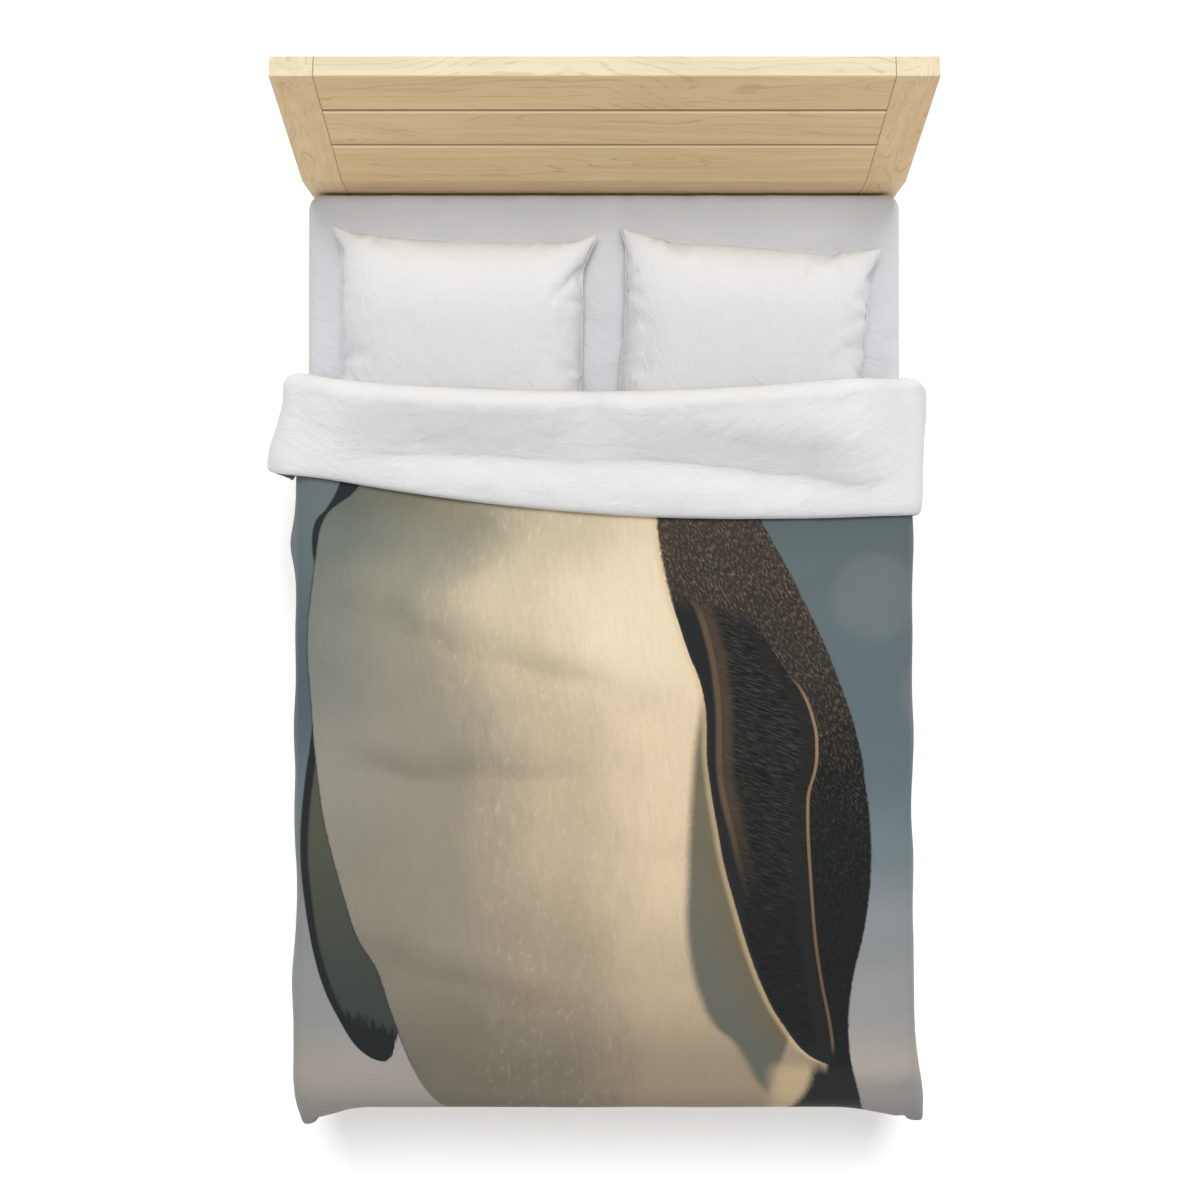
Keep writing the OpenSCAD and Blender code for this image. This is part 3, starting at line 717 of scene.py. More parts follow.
def rounded_loop(half_x, half_y, corner, step):
    """Points round a rectangle with round corners, counter-clockwise, and the outward direction at each."""
    points, outward = [], []
    for k, (sx, sy) in enumerate(((1, 1), (-1, 1), (-1, -1), (1, -1))):
        centre = np.array([sx * (half_x - corner), sy * (half_y - corner)])
        turns = max(round(corner * math.pi / 2 / step), 4)
        for a in np.linspace(k, k + 1, turns + 1) * math.pi / 2:
            outward.append(np.array([math.cos(a), math.sin(a)]))
            points.append(centre + corner * outward[-1])
        length = 2 * ((half_x if k % 2 == 0 else half_y) - corner)
        ahead = np.array([-math.sin((k + 1) * math.pi / 2), math.cos((k + 1) * math.pi / 2)])
        for _ in np.arange(step, length - step / 2, step):
            outward.append(outward[-1])
            points.append(points[-1] + ahead * step)
    return np.array(points), np.array(outward)


def ring_tube(name, centre, half_x, half_y, corner, section, step, ruffle=0.0):
    """A closed ring whose cross-section is a list of (outward, up) places, with an optional ruffle."""
    path, outward = rounded_loop(half_x, half_y, corner, step)
    wave = ruffle * np.sin(np.arange(len(path)) * 2.1)
    points = [[*(centre[:2] + p + n * (a + w)), centre[2] + b + 0.4 * w]
              for p, n, w in zip(path, outward, wave) for a, b in section]
    return mesh_object(name, points, tube_faces(len(path), len(section)))


MATTRESS_EDGE = 0.03
QUILT = 0.17  # size of the quilting's diamonds


def make_mattress():
    """The mattress in its quilted ticking, with a piped edge above and below."""
    low, high = np.array(mattress_low), np.array(mattress_high) - [0, 0, 0.0125]
    mattress = soft_box("mattress_ticking", low, high, 0.038, MATTRESS_EDGE, 0.024)
    co = points_of(mattress.data)
    inside = np.minimum(high[0] - abs(co[:, 0]), np.minimum(co[:, 1] - low[1], high[1] - co[:, 1]))
    a, b = (co[:, 0] + co[:, 1]) / QUILT, (co[:, 0] - co[:, 1]) / QUILT
    dent = 0.006 * np.maximum(hump(a - np.round(a), 0, 0.09), hump(b - np.round(b), 0, 0.09))
    for sign, level in ((-1, high[2]), (1, low[2])):
        co[:, 2] += np.where(abs(co[:, 2] - level) < 0.001, sign * dent * smooth(0.03, 0.08, inside), 0)
    move_points(mattress, co)
    middle = (low + high) / 2
    inset = MATTRESS_EDGE * (1 - math.sqrt(0.5))
    rings = [ring_tube("piping", (middle[0], middle[1], z), high[0] - middle[0] - inset,
                       high[1] - middle[1] - inset, 0.034, circle_section(0.004, 8), 0.02)
             for z in (low[2] + inset, high[2] - inset)]
    piping = join("mattress_piping_cord", rings)
    stand_for(mattress, "ticking", "mattress", "mattress_cover", "comfort_layer_top", "comfort_layer_bottom",
              "spring_unit")
    stand_for(piping, "piping", "mattress", "mattress_piping")
    return mattress, piping


def make_sheet():
    """The fitted sheet, with small wrinkles on the top and pleats pulled down at its corners."""
    low, high = np.array(sheet_low), np.array(sheet_high)
    sheet = soft_box("fitted_sheet_cloth", low, high, 0.034, 0.02, 0.012, bottom=False)
    co = points_of(sheet.data)
    x, y, z = co.T
    top = smooth(high[2] - 0.03, high[2] - 0.001, z)
    small = field_noise(x * 0.5 + 0.35 * y, y, 21, 11) + 0.6 * field_noise(x, y * 0.6 - 0.5 * x, 13, 12)
    broad = field_noise(x * 0.8 - 0.6 * y, y * 0.35 + 0.3 * x, 24, 17)
    co[:, 2] -= top * (0.0016 * (1 + small) + 0.0056 * (1 + broad))
    to_corner = np.hypot(high[0] - abs(x), np.minimum(y - low[1], high[1] - y))
    pleats = np.sin(to_corner * 150 + 2 * field_noise(x, y, 7, 5)) * smooth(0.3, 0.05, to_corner)
    middle = (low + high) / 2
    side = (1 - top)[:, None] * (co - middle)[:, :2] / np.abs(co - middle)[:, :2].max(1, keepdims=True)
    drop = smooth(high[2], high[2] - 0.08, z)
    co[:, :2] -= side * (0.0014 * (1 + pleats) * drop)[:, None]
    move_points(sheet, co)
    thick = sheet.modifiers.new("thickness", "SOLIDIFY")
    thick.thickness, thick.offset = 0.0008, -1
    section = [(0.0005, 0), (0.002, 0.003), (0.0005, 0.008), (-0.0025, 0.006), (-0.0025, 0.001)]
    elastic = ring_tube("gathered_hem", (middle[0], middle[1], sheet_low.z + 0.0005), high[0] - middle[0],
                        high[1] - middle[1], 0.034, section, 0.0045, ruffle=0.0012)
    stand_for(sheet, "sheet_cotton", "mattress", "fitted_sheet")
    stand_for(elastic, "sheet_cotton", "mattress", "sheet_elastic")
    return sheet, elastic


mattress, piping = make_mattress()
fitted_sheet, gathered_hem = make_sheet()


# ---- Materials: fields over a surface, worked out by its nodes ----

def srgb(r, g, b):
    """An 8-bit sRGB colour as linear RGBA."""
    return tuple(((c / 255 + 0.055) / 1.055) ** 2.4 for c in (r, g, b)) + (1,)


class Field:
    """A number that varies over a surface, with the usual arithmetic."""

    def __init__(self, surface, socket):
        self.surface, self.socket = surface, socket

    def __add__(self, other):
        return self.surface.math("ADD", self, other)

    def __sub__(self, other):
        return self.surface.math("SUBTRACT", self, other)

    def __rsub__(self, other):
        return self.surface.math("SUBTRACT", other, self)

    def __mul__(self, other):
        return self.surface.math("MULTIPLY", self, other)

    __radd__, __rmul__ = __add__, __mul__


class Surface:
    """A material, and the fields that its colour, roughness and bump are made from."""

    def __init__(self, name, **inputs):
        self.material = bpy.data.materials.new(name)
        self.material.use_nodes = True
        self.tree = self.material.node_tree
        self.shader = self.tree.nodes["Principled BSDF"]
        for socket, value in inputs.items():
            self.put(self.shader.inputs[socket.replace("_", " ").title().replace("Ior", "IOR")], value)

    def put(self, socket, value):
        """Links a field to a socket, or sets the socket to a number or an sRGB colour."""
        if isinstance(value, Field):
            self.tree.links.new(value.socket, socket)
        else:
            socket.default_value = srgb(*value) if isinstance(value, tuple) else value

    def math(self, operation, *values):
        node = self.tree.nodes.new("ShaderNodeMath")
        node.operation = operation
        for socket, value in zip(node.inputs, values):
            self.put(socket, value)
        return Field(self, node.outputs[0])

    def place(self, kind="object"):
        """The x, y and z fields of the frame, or of the cloth laid flat."""
        if kind == "cloth":
            source = self.tree.nodes.new("ShaderNodeUVMap")
            source.uv_map = "cloth"
            out = source.outputs[0]
        else:
            out = self.tree.nodes.new("ShaderNodeTexCoord").outputs["Object"]
        parts = self.tree.nodes.new("ShaderNodeSeparateXYZ")
        self.tree.links.new(out, parts.inputs[0])
        return [Field(self, s) for s in parts.outputs]

    def vector(self, x, y, z=0.0):
        node = self.tree.nodes.new("ShaderNodeCombineXYZ")
        for socket, value in zip(node.inputs, (x, y, z)):
            self.put(socket, value)
        return Field(self, node.outputs[0])

    def noise(self, x, y, z=0.0, detail=3.0, roughness=0.55, distortion=0.0):
        """Noise about 0.5, with bumps about one unit apart."""
        node = self.tree.nodes.new("ShaderNodeTexNoise")
        values = {"Vector": self.vector(x, y, z), "Scale": 1.0, "Detail": detail, "Roughness": roughness,
                  "Distortion": distortion}
        for socket, value in values.items():
            self.put(node.inputs[socket], value)
        return Field(self, node.outputs[0])

    def cells(self, x, y):
        """Distance to the nearest of points scattered one to a unit cell."""
        node = self.tree.nodes.new("ShaderNodeTexVoronoi")
        self.put(node.inputs["Vector"], self.vector(x, y))
        self.put(node.inputs["Scale"], 1.0)
        return Field(self, node.outputs[0])

    def step(self, value, low, high):
        """0 below low and 1 above high, smooth between."""
        node = self.tree.nodes.new("ShaderNodeMapRange")
        node.interpolation_type = "SMOOTHSTEP"
        for socket, number in zip(node.inputs, (value, low, high, 0.0, 1.0)):
            self.put(socket, number)
        return Field(self, node.outputs[0])

    def below(self, value, low, high):
        """1 below low and 0 above high, smooth between."""
        return 1.0 - self.step(value, low, high)

    def curve(self, value, points):
        """A smooth curve through (value, result) points, level past its ends."""
        xs, ys = zip(*sorted(points))
        low, high = min(ys) - 0.02, max(ys) + 0.02
        node = self.tree.nodes.new("ShaderNodeFloatCurve")
        line = node.mapping.curves[0]
        while len(line.points) < len(xs):
            line.points.new(0.5, 0.5)
        for point, x, y in zip(line.points, xs, ys):
            point.location = ((x - xs[0]) / (xs[-1] - xs[0]), (y - low) / (high - low))
        node.mapping.update()
        share = self.math("DIVIDE", value - xs[0], xs[-1] - xs[0])
        self.put(node.inputs["Value"], self.math("MAXIMUM", self.math("MINIMUM", share, 1.0), 0.0))
        return Field(self, node.outputs[0]) * (high - low) + low

    def colours(self, value, stops):
        """A colour from (value, sRGB) stops."""
        xs = [x for x, _ in stops]
        low, high = min(xs), max(xs)
        node = self.tree.nodes.new("ShaderNodeValToRGB")
        node.color_ramp.interpolation = "EASE"
        ramp = node.color_ramp.elements
        while len(ramp) < len(stops):
            ramp.new(0.5)
        for element, (x, colour) in zip(ramp, sorted(stops)):
            element.position = (x - low) / (high - low)
            element.color = srgb(*colour)
        self.put(node.inputs[0], self.math("DIVIDE", value - low, high - low))
        return Field(self, node.outputs[0])

    def mix(self, share, a, b):
        """The colour a, and b where the share is 1."""
        node = self.tree.nodes.new("ShaderNodeMix")
        node.data_type = "RGBA"
        for socket, value in ((node.inputs[0], share), (node.inputs[6], a), (node.inputs[7], b)):
            self.put(socket, value)
        return Field(self, node.outputs[2])

    def finish(self, colour, height=None, roughness=None):
        """Connects the colour, the relief in millimetres and the roughness to the shader."""
        self.put(self.shader.inputs["Base Color"], colour)
        if roughness is not None:
            self.put(self.shader.inputs["Roughness"], roughness)
        if height is not None:
            bump = self.tree.nodes.new("ShaderNodeBump")
            bump.inputs["Strength"].default_value = 1.0
            bump.inputs["Distance"].default_value = 0.001
            self.put(bump.inputs["Height"], height)
            self.tree.links.new(bump.outputs[0], self.shader.inputs["Normal"])
        return self.material


def line_at(s, distance, width):
    """1 on a line where the distance is 0, fading to its sides."""
    return s.below(s.math("ABSOLUTE", distance), width * 0.3, width)


THREAD = 0.0012  # from one thread of the cloth to the next


def weave(s, u, v):
    """Relief of plain-woven cotton: crossing threads, some thicker, and rubbed-in creases."""
    turns = 2 * math.pi / THREAD
    threads = s.math("SINE", u * turns) * s.math("SINE", v * turns)
    slubs = s.noise(u * 45, v * 1100, detail=2.0) + s.noise(u * 1100, v * 45, detail=2.0)
    creases = s.noise(u * 23 + v * 9, v * 34, detail=4.0, roughness=0.62, distortion=0.6)
    return threads * 0.06 + slubs * 0.144 + creases * 1.5


def cotton(name, colour, place="object", tilt=0.0, crumple=1.0, turned=False):
    """White cotton cloth, a little uneven in tone. Turned cloth has its rubbed-in creases along the bed."""
    s = Surface(name, sheen_weight=0.12, sheen_roughness=0.5, specular_ior_level=0.25)
    x, y, z = s.place(place)
    u, v = (x, y) if place == "cloth" else (x + z * 0.7, y + z * 0.7 + x * tilt)
    u, v = (v, u) if turned else (u, v)
    tone = s.noise(u * 3, v * 3, detail=2.0)
    fine = s.noise(u * 60, v * 700, detail=1.0) * 0.5 + s.noise(u * 700, v * 60, detail=1.0) * 0.5
    shade = s.mix(tone * 0.35 + fine * 0.5, tuple(c - 10 for c in colour), colour)
    return s.finish(shade, weave(s, u, v) * crumple, s.noise(u * 9, v * 9) * 0.1 + 0.8)


RAKE = math.radians(15)  # how far the upper headboard leans back


def wood(name, light, dark, along, seed, figure=1.0, joints=(), painted_light_above=None):
    """Planed and lacquered wood with its grain along an axis: growth rings, fine pores and darker streaks.

    joints are places, as (axis, where, half width), where a dark line is painted as the shade in the gap
    between the boards, with a painted highlight on the rounded edge below a joint across the boards. Above the
    height given last, measured up the raked headboard, the board's top edge is painted paler and less yellow,
    as painted light where it faces the lamps."""
    s = Surface(name, specular_ior_level=0.35, coat_weight=0.06, coat_roughness=0.35)
    x, y, z = s.place()
    run, a, b = {"x": (x, y, z), "y": (y, x, z), "z": (z, x, y)}[along]
    slow = s.noise(run * 0.8 + seed, a * 5, b * 5, detail=2.0, distortion=0.4)
    rings = s.math("SINE", slow * 46 + b * 30) * 0.5 + 0.5
    streaks = s.noise(run * 3.2 + seed, a * 70, b * 70, roughness=0.6)
    pores = s.noise(run * 26 + seed, a * 900, b * 900, detail=1.0)
    cloud = s.noise(run * 2 + seed, a * 4, b * 4)
    contour = s.math("ABSOLUTE", s.math("SINE", slow * 80 + cloud * 20 + (a + b) * 110))
    lines = s.below(contour, 0.0, 0.4) * s.step(streaks, 0.35, 0.6)
    share = rings * (0.16 * figure) + streaks * (0.5 * figure) + lines * (0.55 * figure)
    share = share + cloud * 0.25 + pores * 0.18
    flecks = s.step(s.noise(run * 7 + seed, a * 160, b * 160, detail=2.0), 0.62, 0.78)
    tone = s.mix(share, light, dark)
    tone = s.mix(flecks * (0.35 * figure), tone, tuple(c * 0.72 for c in dark))
    # painted light: above this height the board's top edge, which faces the lamps, is painted paler and less
    # yellow than its face
    if painted_light_above:
        up_board = y * math.sin(RAKE) + z * math.cos(RAKE)
        pale = s.mix(share, (236, 222, 192), (204, 185, 151))
        tone = s.mix(s.step(up_board, painted_light_above - 0.0015, painted_light_above - 0.0005), tone, pale)
    for axis, where, half in joints:  # painted shade and highlight: a dark line for the shade in the gap at the joint, with a light line below it on the rounded edge
        if axis == 2:
            # painted highlight on the rounded edge below a joint across the boards
            painted_edge_highlight = s.step(z, where - 3 * half, where - 2 * half)
            painted_edge_highlight = painted_edge_highlight * s.below(z, where - 1.6 * half, where - half)
            tone = s.mix(painted_edge_highlight * 0.7, tone, (252, 236, 204))
        # painted shade: a dark line where the gap between the boards would lie in shade
        tone = s.mix(line_at(s, (x, y, z)[axis] - where, half) * 0.8, tone, (122, 80, 42))
    return s.finish(tone, pores * 0.05 + streaks * 0.08, streaks * 0.14 + 0.4)


def plain(name, colour, dark, grain, roughness, relief, **inputs):
    """A fine-grained material: felt, steel or plastic."""
    s = Surface(name, **inputs)
    x, y, z = s.place()
    speckle = s.noise(x * grain, y * grain, z * grain, detail=4.0)
    return s.finish(s.mix(speckle, dark, colour), speckle * relief, speckle * 0.15 + roughness)


# ---- The print: a penguin standing before a blurred sea, drawn by fields over the cloth ----

# Each outline gives its place across the cloth by the place up it, in metres from the middle of the bed.
BELLY_LEFT = [(0.5, -0.42), (0.4, -0.5), (0.29, -0.58), (0.212, -0.654), (0.11, -0.67), (-0.05, -0.686),
              (-0.21, -0.677), (-0.42, -0.656), (-0.68, -0.594), (-0.85, -0.52), (-0.98, -0.469),
              (-1.08, -0.425), (-1.15, -0.365), (-1.3, -0.3)]
WEDGE_OUTER = [(0.5, -0.56), (0.31, -0.612), (0.252, -0.64), (0.215, -0.668), (0.178, -0.674),
               (0.12, -0.668)]
LEFT_FLIPPER = [(-0.16, -0.665), (-0.23, -0.67), (-0.4, -0.691), (-0.54, -0.7), (-0.635, -0.693),
                (-0.81, -0.661), (-0.96, -0.596), (-1.01, -0.554), (-1.03, -0.506)]
LEFT_FLIPPER_TIP = [(-0.9, -0.455), (-0.96, -0.474), (-0.99, -0.482), (-1.015, -0.492), (-1.032, -0.51)]
RIGHT_EDGE = [(0.5, 0.13), (0.26, 0.118), (0.127, 0.134), (-0.06, 0.187), (-0.2, 0.233), (-0.344, 0.24),
              (-0.5, 0.263), (-0.69, 0.309), (-0.87, 0.372), (-0.95, 0.418), (-1.003, 0.46),
              (-1.035, 0.515)]
FLIPPER_RIGHT = [(0.02, 0.3), (-0.003, 0.337), (-0.109, 0.409), (-0.236, 0.483), (-0.307, 0.492),
                 (-0.42, 0.473), (-0.61, 0.478), (-0.81, 0.497), (-0.98, 0.527), (-1.03, 0.53)]
BROWN_RIM = [(0.05, 0.202), (-0.06, 0.242), (-0.19, 0.263), (-0.38, 0.27), (-0.52, 0.3), (-0.66, 0.335)]
BACK_EDGE = [(0.5, 0.24), (0.27, 0.337), (0.185, 0.383), (0.04, 0.46), (-0.13, 0.536), (-0.31, 0.591),
             (-0.515, 0.617), (-0.69, 0.607), (-0.827, 0.577), (-0.966, 0.564), (-1.095, 0.587),
             (-1.25, 0.64)]
SHADOW_EDGE = [(-0.15, 0.225), (-0.33, 0.194), (-0.57, 0.18), (-0.75, 0.18), (-0.92, 0.226),
               (-0.99, 0.291), (-1.074, 0.342), (-1.12, 0.385)]
TAIL_EDGE = [(-1.00, 0.482), (-1.08, 0.47), (-1.13, 0.44), (-1.3, 0.36)]

SEA_LEFT = [(0.27, (99, 110, 110)), (-0.19, (76, 90, 96)), (-0.5, (108, 117, 120)),
            (-0.72, (136, 139, 140)), (-0.9, (141, 143, 142)), (-1.05, (156, 149, 141)),
            (-1.15, (140, 135, 130)), (-1.3, (120, 118, 116))]
SEA_RIGHT = [(0.27, (85, 96, 98)), (0.04, (95, 106, 108)), (-0.2, (91, 105, 109)), (-0.36, (94, 109, 114)),
             (-0.54, (110, 122, 125)), (-0.72, (138, 141, 142)), (-0.9, (147, 147, 145)),
             (-1.04, (168, 160, 151)), (-1.1, (142, 138, 135)), (-1.3, (128, 125, 122))]
BELLY_COOL = [(0.3, (94, 101, 90)), (0.18, (110, 118, 110)), (-0.1, (124, 127, 120)),
              (-0.35, (146, 142, 130)), (-0.6, (136, 132, 118)), (-0.85, (124, 119, 106)),
              (-1.07, (92, 92, 81)), (-1.3, (80, 80, 71))]
BELLY_MIDDLE = [(0.3, (136, 130, 108)), (0.1, (148, 146, 128)), (-0.2, (150, 143, 126)),
                (-0.5, (148, 140, 122)), (-0.75, (144, 136, 119)), (-1.00, (112, 107, 92)),
                (-1.3, (84, 82, 72))]
BELLY_WARM = [(0.3, (200, 186, 156)), (0.05, (212, 196, 166)), (-0.25, (196, 179, 150)),
              (-0.5, (192, 174, 146)), (-0.8, (160, 145, 122)), (-1.05, (118, 110, 94)),
              (-1.3, (88, 84, 72))]
BELLY_BRIGHT = [(0.3, (226, 208, 178)), (0.00, (238, 220, 188)), (-0.3, (226, 205, 172)),
                (-0.6, (218, 196, 163)), (-0.85, (188, 168, 140)), (-1.05, (150, 134, 111)),
                (-1.3, (110, 100, 84))]
BRONZE = (122, 100, 76)


def feather_strokes(s, u, v, slope, across, along, low, high):
    """Short light strokes that lean by a slope: 1 on a stroke, 0 between."""
    a = u - v * slope
    return s.step(s.noise(a * across, (v + u * slope) * along, roughness=0.7), low, high)


def paint_belly(s, u, v):
    """Grey-green shade at the left, through cream, to warm light at the right, with wet feathers."""
    streaks = s.noise(u * 95 + v * 12, v * 13, detail=4.0, roughness=0.65)
    patches = s.noise(u * 9, v * 5)
    chest = s.step(v, -0.35, 0.0) * s.below(v, 0.05, 0.2)
    drift = u + (patches - 0.5) * 0.16 + (streaks - 0.5) * 0.05 + chest * 0.12
    belly = s.mix(s.step(drift, -0.62, -0.33), s.colours(v, BELLY_COOL), s.colours(v, BELLY_MIDDLE))
    belly = s.mix(s.step(drift, -0.36, -0.1), belly, s.colours(v, BELLY_WARM))
    belly = s.mix(s.step(drift, -0.1, 0.14), belly, s.colours(v, BELLY_BRIGHT))
    band = s.step(drift, -0.36, -0.2) * s.below(drift, -0.02, 0.12)
    glints = s.step(s.noise(u * 62 - v * 22, v * 24 + u * 16, detail=5.0, roughness=0.75), 0.52, 0.82)
    belly = s.mix(glints * band * (s.step(v, -1.2, 0.2) * 0.45 + 0.25), belly, (246, 222, 184))
    sparkle = s.below(s.cells(u * 70, v * 64), 0.02, 0.07) * s.step(s.noise(u * 8, v * 8), 0.44, 0.6)
    belly = s.mix(sparkle * s.step(drift, -0.3, -0.15) * 0.4, belly, (255, 236, 202))
    return s.mix((1.0 - streaks) * 0.22, belly, (88, 84, 75))


def paint_back(s, u, v):
    """Dark feathers with short bronze tips, darker down the back."""
    base = s.colours(v, [(0.3, (52, 49, 43)), (-0.05, (41, 40, 38)), (-0.38, (14, 17, 17)),
                         (-0.75, (13, 17, 18)), (-1.1, (16, 18, 18))])
    lower = s.step(v, -0.75, 0.1)
    strokes = feather_strokes(s, u, v, -0.55, 190, 70, 0.46, 0.72)
    light = s.mix(lower, (72, 74, 72), BRONZE)
    back = s.mix(strokes * (lower * 0.55 + 0.16), base, light)
    glow = s.step(s.noise(u * 12 + v * 4, v * 9), 0.4, 0.65) * lower
    return s.mix(glow * strokes * 0.35, back, (150, 126, 98))


def paint_flipper(s, u, v, left, right):
    """The near flipper: slanting rows of feathers, a brown rim on its left and a dark edge on its right."""
    rows = s.noise(u * 34 + v * 14, v * 330 + u * 110, detail=2.0, roughness=0.6)
    light = s.mix(s.step(v, -0.85, -0.3), (30, 31, 30), (62, 60, 55))
    flipper = s.mix(s.step(rows, 0.44, 0.7), (15, 18, 19), light)
    bronze = s.curve(v, BROWN_RIM)
    shown = s.step(v, -0.66, -0.4) * 0.62
    glow = line_at(s, u - bronze - 0.01, 0.034)
    flipper = s.mix(glow * shown, flipper, (82, 67, 51))
    before = s.below(u - bronze, -0.016, 0.0)
    flipper = s.mix(before, flipper, (28, 30, 32))
    edge = right - u
    flipper = s.mix(line_at(s, edge - 0.022, 0.022) * 0.75, flipper, (30, 29, 28))
    tip = s.below(v, -1.03, -0.96)
    flipper = s.mix(tip * 0.8, flipper, (28, 30, 33))
    return s.mix(s.below(u - left, 0.0, 0.01), flipper, (34, 38, 40))


def paint_print():
    s = Surface("duvet_print_cotton", sheen_weight=0.06, sheen_roughness=0.5, specular_ior_level=0.25)
    u, v, _ = s.place("cloth")
    ragged = (s.noise(u * 160, v * 70) - 0.5) * 0.014
    belly_left, right_edge = s.curve(v, BELLY_LEFT), s.curve(v, RIGHT_EDGE)
    flipper_right, back_edge = s.curve(v, FLIPPER_RIGHT), s.curve(v, BACK_EDGE)
    sea = s.mix(s.step(u, -0.3, 0.3), s.colours(v, SEA_LEFT), s.colours(v, SEA_RIGHT))
    for cu, cv, size, pale in ((0.8, -0.18, 0.125, (124, 124, 124)), (0.625, 0.045, 0.11, (112, 122, 124)),
                               (-0.92, -0.45, 0.1, (112, 118, 120))):
        away = s.math("SQRT", (u - cu) * (u - cu) + (v - cv) * (v - cv))
        sea = s.mix(s.below(away, size * 0.74, size * 1.04) * 0.5, sea, pale)
    sea = s.mix(s.noise(u * 2.5, v * 7, detail=2.0) * 0.22, sea, (92, 104, 110))

    belly = paint_belly(s, u, v)
    in_shadow = s.step(u - s.curve(v, SHADOW_EDGE) + ragged * 0.6, 0.0, 0.028)
    in_shadow = in_shadow * s.below(v, -0.22, -0.12) * s.below(u - (v * 0.35 + 0.765), -0.006, 0.014)
    shade = s.mix(s.step(u - right_edge, -0.09, -0.01), (84, 88, 80), (92, 84, 66))
    belly = s.mix(in_shadow * 0.92, belly, shade)
    belly = s.mix(s.step(u - right_edge, -0.018, -0.004) * 0.5, belly, (206, 182, 138))

    bird = s.mix(s.step(u - belly_left + ragged * 0.3, 0.0, 0.006), (27, 32, 34), belly)
    wedge = s.step(u - s.curve(v, WEDGE_OUTER), -0.002, 0.003) * s.step(v, 0.11, 0.14)
    wedge = wedge * s.below(u, -0.4, -0.3)
    flipper_edge = s.curve(v, LEFT_FLIPPER)
    far_flipper = s.mix(s.step(v, -0.95, -0.45), (54, 60, 57), (76, 78, 66))
    rim = s.below(u - flipper_edge, 0.014, 0.022)
    far_flipper = s.mix(rim, far_flipper, (27, 31, 33))
    fringe = (s.noise(u * 130, v * 30, detail=2.0) - 0.5) * 0.06
    far_flipper = s.mix(s.below(v + fringe + (u + 0.5) * 0.35, -0.965, -0.935), far_flipper, (24, 28, 30))
    shape = s.step(u - flipper_edge, -0.002, 0.002) * s.step(v, -1.032, -1.026) * s.below(v, -0.18, -0.16)
    shape = shape * s.below(u - s.curve(v, LEFT_FLIPPER_TIP) + fringe * 0.25, -0.003, 0.003)

    picture = s.mix(shape, sea, far_flipper)
    picture = s.mix(wedge, picture, (30, 36, 38))
    on_bird = s.step(u - belly_left + ragged * 0.3, -0.002, 0.004)
    bird = s.mix(s.step(u - right_edge + ragged * 0.9, -0.003, 0.006), bird, paint_back(s, u, v))
    low = s.below(v, -1.06, -1.02)
    tail = s.step(u - s.curve(v, TAIL_EDGE) + ragged, -0.012, 0.018)
    strip = s.mix(tail, s.mix(s.step(u, 0.36, 0.42), belly, (176, 155, 122)), (30, 32, 31))
    bird = s.mix(low, bird, strip)
    on_flipper = s.step(u - right_edge, -0.001, 0.002) * s.below(u - flipper_right, -0.001, 0.002)
    top_of_flipper = s.below(v + (u - 0.3) * 0.25 + ragged * 2.5, -0.03, 0.04)
    rounded = s.step(v + s.math("ABSOLUTE", u - 0.512) * -0.35, -1.036, -1.03)
    near = on_flipper * rounded
    bird = s.mix(near * top_of_flipper, bird, paint_flipper(s, u, v, right_edge, flipper_right))
    hairline = line_at(s, u - flipper_right, 0.0055) * s.step(v, -1.02, -0.98) * s.below(v, -0.2, -0.12)
    bird = s.mix(hairline * (s.step(v, -0.85, -0.3) * 0.45 + 0.38), bird, (150, 124, 96))
    inner_line = line_at(s, u - s.curve(v, BROWN_RIM), 0.01) * s.step(v, -0.7, -0.4)
    bird = s.mix(inner_line * s.below(v, -0.02, 0.06) * 0.35, bird, BRONZE)
    picture = s.mix(on_bird * s.below(u - back_edge + ragged * 0.5, -0.002, 0.004), picture, bird)

    fine = s.noise(u * 60, v * 800, detail=1.0) + s.noise(u * 800, v * 60, detail=1.0)
    picture = s.mix((fine - 0.7) * 0.16, picture, (60, 60, 58))
    return s.finish(picture, weave(s, u, v), s.noise(u * 9, v * 9) * 0.1 + 0.82)


# ---- Materials on the pieces ----

def dress(obj, material):
    obj.data.materials.clear()
    obj.data.materials.append(material)


def round_edges(obj, width):
    """Welds a CAD mesh's split corners and rounds its edges, as a modifier."""
    weld = obj.modifiers.new("weld", "WELD")
    weld.merge_threshold = 0.00002
    bevel = obj.modifiers.new("round", "BEVEL")
    bevel.width, bevel.segments, bevel.limit_method = width, 3, "ANGLE"
    bevel.angle_limit = math.radians(40)
    bevel.harden_normals = True


MAPLE_LIGHT, MAPLE_DARK = (238, 212, 168), (208, 174, 122)
PINE_LIGHT, PINE_DARK = (233, 208, 163), (206, 168, 115)

dress(cover_face, paint_print())
dress(cover_back, cotton("duvet_white_cotton", (238, 238, 239), "cloth", crumple=3.2))
dress(filling, plain("down_filling", (240, 238, 232), (226, 224, 218), 300, 0.85, 0.4))
for k, pillow in enumerate(pillows):
    dress(pillow, cotton(f"pillow_cotton_{k + 1}", (229, 230, 232), tilt=0.2 + 0.3 * k, crumple=3.4,
                         turned=True))
dress(fitted_sheet, cotton("sheet_cotton", (226, 228, 232), tilt=0.3, crumple=4.0))
dress(gathered_hem, fitted_sheet.data.materials[0])
dress(mattress, cotton("ticking", (238, 236, 230)))
dress(piping, cotton("piping_cloth", (222, 219, 212)))
zip_white = plain("zip_white", (232, 232, 230), (214, 214, 212), 900, 0.35, 0.02)
dress(coil, zip_white)
dress(tape, cotton("zip_tape_cotton", (236, 236, 234)))

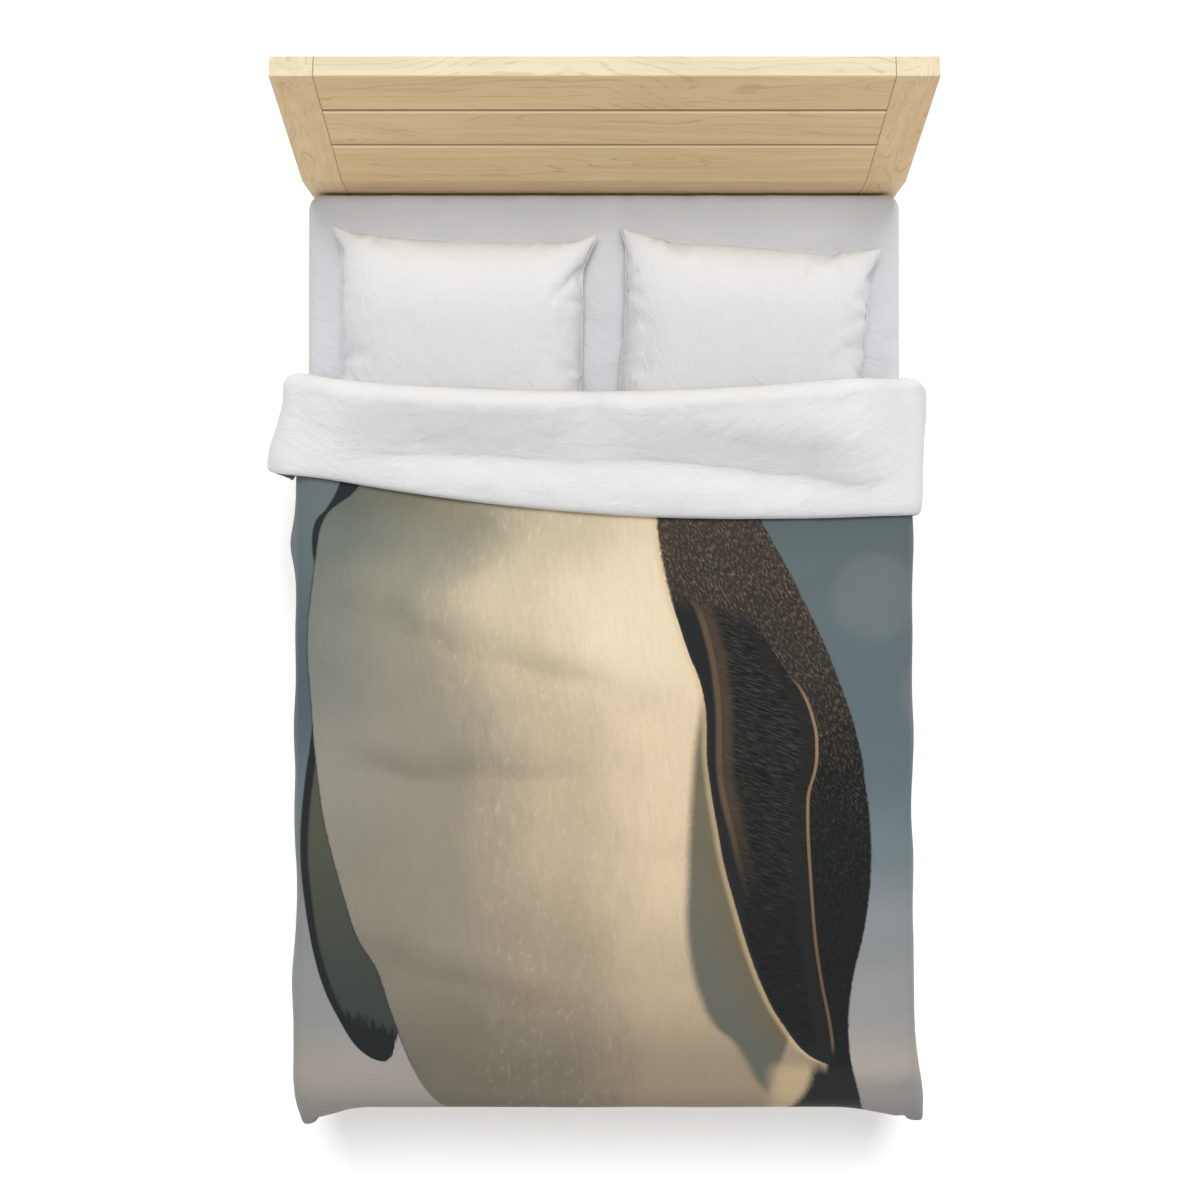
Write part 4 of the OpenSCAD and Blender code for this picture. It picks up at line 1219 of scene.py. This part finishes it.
BOARDS = {"headboard_stile_left": ("z", 1.3), "headboard_stile_right": ("z", 4.7), "plank_top": ("x", 9.1),
          "plank_middle": ("x", 14.6), "plank_bottom": ("x", 21.2), "headboard_apron": ("x", 27.9)}
plank_low, plank_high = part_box("plank_middle")
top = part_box("plank_top")[1]
# where the painted light on the headboard's top edge begins, measured up the raked board
top_edge = (top.y - 0.045 * math.cos(RAKE)) * math.sin(RAKE) + top.z * math.cos(RAKE)
# places of the painted shade lines in the gaps between the boards
between_planks = [(2, z, 0.005) for z in (plank_low.z, plank_high.z)]
at_stiles = [(0, x, 0.0015) for x in (plank_low.x, plank_high.x)]
for name, (along, seed) in BOARDS.items():
    joints = at_stiles + (between_planks if name.startswith("plank") else [])
    dress(nodes[name], wood(name + "_maple", MAPLE_LIGHT, MAPLE_DARK, along, seed, joints=joints,
                           painted_light_above=top_edge))
    round_edges(nodes[name], 0.003)
for name, along, seed in (("head_rail", "x", 33.0), ("foot_rail", "x", 38.5), ("side_rail_left", "y", 43.1),
                          ("side_rail_right", "y", 48.2), ("foot_post_left", "z", 53.7),
                          ("foot_post_right", "z", 58.8)):
    dress(nodes[name], wood(name + "_maple", MAPLE_LIGHT, MAPLE_DARK, along, seed))
    round_edges(nodes[name], 0.002)
pine_along = {axis: wood("pine_" + axis, PINE_LIGHT, PINE_DARK, axis, 70 + 5 * k, 1.3)
              for k, axis in enumerate("xyz")}
for name, node in nodes.items():
    if name.startswith("slat_ledger") or name == "centre_beam":
        dress(node, pine_along["y"])
        round_edges(node, 0.0015)
    elif name.startswith("slat_") and name != "slat_screws":
        dress(node, pine_along["x"])
        round_edges(node, 0.0015)
dress(nodes["centre_leg"], pine_along["z"])
round_edges(nodes["centre_leg"], 0.0015)
dress(nodes["headboard_dowels"], pine_along["x"])
steel = plain("zinc_steel", (196, 198, 200), (150, 153, 158), 500, 0.28, 0.02, metallic=1.0)
for name in ("beam_hangers", "bed_bolts", "barrel_nuts", "slat_screws"):
    dress(nodes[name], steel)
dress(nodes["floor_glides"], plain("grey_felt", (122, 118, 112), (84, 81, 77), 1800, 0.85, 0.3))
slider_metal = plain("slider_metal", (226, 226, 224), (196, 197, 198), 700, 0.3, 0.01, metallic=0.6)
for name in ("zip_slider", "zip_pull"):
    dress(nodes[name], slider_metal)
    round_edges(nodes[name], 0.0003)


# ---- Floor, lights and camera ----

NADIR_Y = HEAD_Y - 0.941  # the point of the bed straight under the camera


def make_floor(half=14):
    floor = mesh_object("floor", [(-half, -half, 0), (half, -half, 0), (half, half, 0), (-half, half, 0)],
                        [(0, 1, 2, 3)])
    s = Surface("white_floor", roughness=0.9)
    x, y, z = s.place()
    dress(floor, s.finish(s.mix(s.noise(x * 6, y * 6) * 0.5, (252, 252, 252), (249, 249, 249))))
    s.shader.inputs["Emission Color"].default_value = (1, 1, 1, 1)
    s.shader.inputs["Emission Strength"].default_value = 0.08


def make_sun(name, energy, angle, elevation, azimuth):
    """A soft sun that shines from an azimuth, clockwise from the head end, and an elevation in degrees."""
    light = bpy.data.lights.new(name, "SUN")
    light.energy, light.angle = energy, math.radians(angle)
    lamp = new_object(name, light)
    e, a = math.radians(elevation), math.radians(azimuth)
    source = Vector((math.sin(a) * math.cos(e), math.cos(a) * math.cos(e), math.sin(e)))
    lamp.rotation_euler = source.to_track_quat("Z", "Y").to_euler()


def make_camera():
    data = bpy.data.cameras.new("camera")
    data.lens, data.sensor_width = 56.67, 36
    camera = new_object("camera", data)
    camera.location = (-0.0093, NADIR_Y - 0.0116, 4.951)
    scene.camera = camera


def make_strip(name, power, size, spread, place):
    """A gridded strip light that shines straight down."""
    light = bpy.data.lights.new(name, "AREA")
    light.shape, light.size, light.size_y = "RECTANGLE", *size
    light.energy, light.spread = power, math.radians(spread)
    lamp = new_object(name, light)
    lamp.location = place
    lamp.visible_camera = False


make_floor()
make_strip("head_strip", 0.3, (1.3, 0.16), 16, (0, HEAD_Y - 0.11, 1.9))
make_sun("window", 1.88, 24, 61, 3)
make_sun("ceiling", 0.75, 40, 88, 0)
make_sun("far_wall", 0.5, 60, 22, 180)
world = bpy.data.worlds.new("studio")
world.use_nodes = True
world.node_tree.nodes["Background"].inputs["Color"].default_value = (1, 1, 1, 1)
world.node_tree.nodes["Background"].inputs["Strength"].default_value = 0.36
scene.world = world
make_camera()
scene.view_settings.view_transform = "Standard"
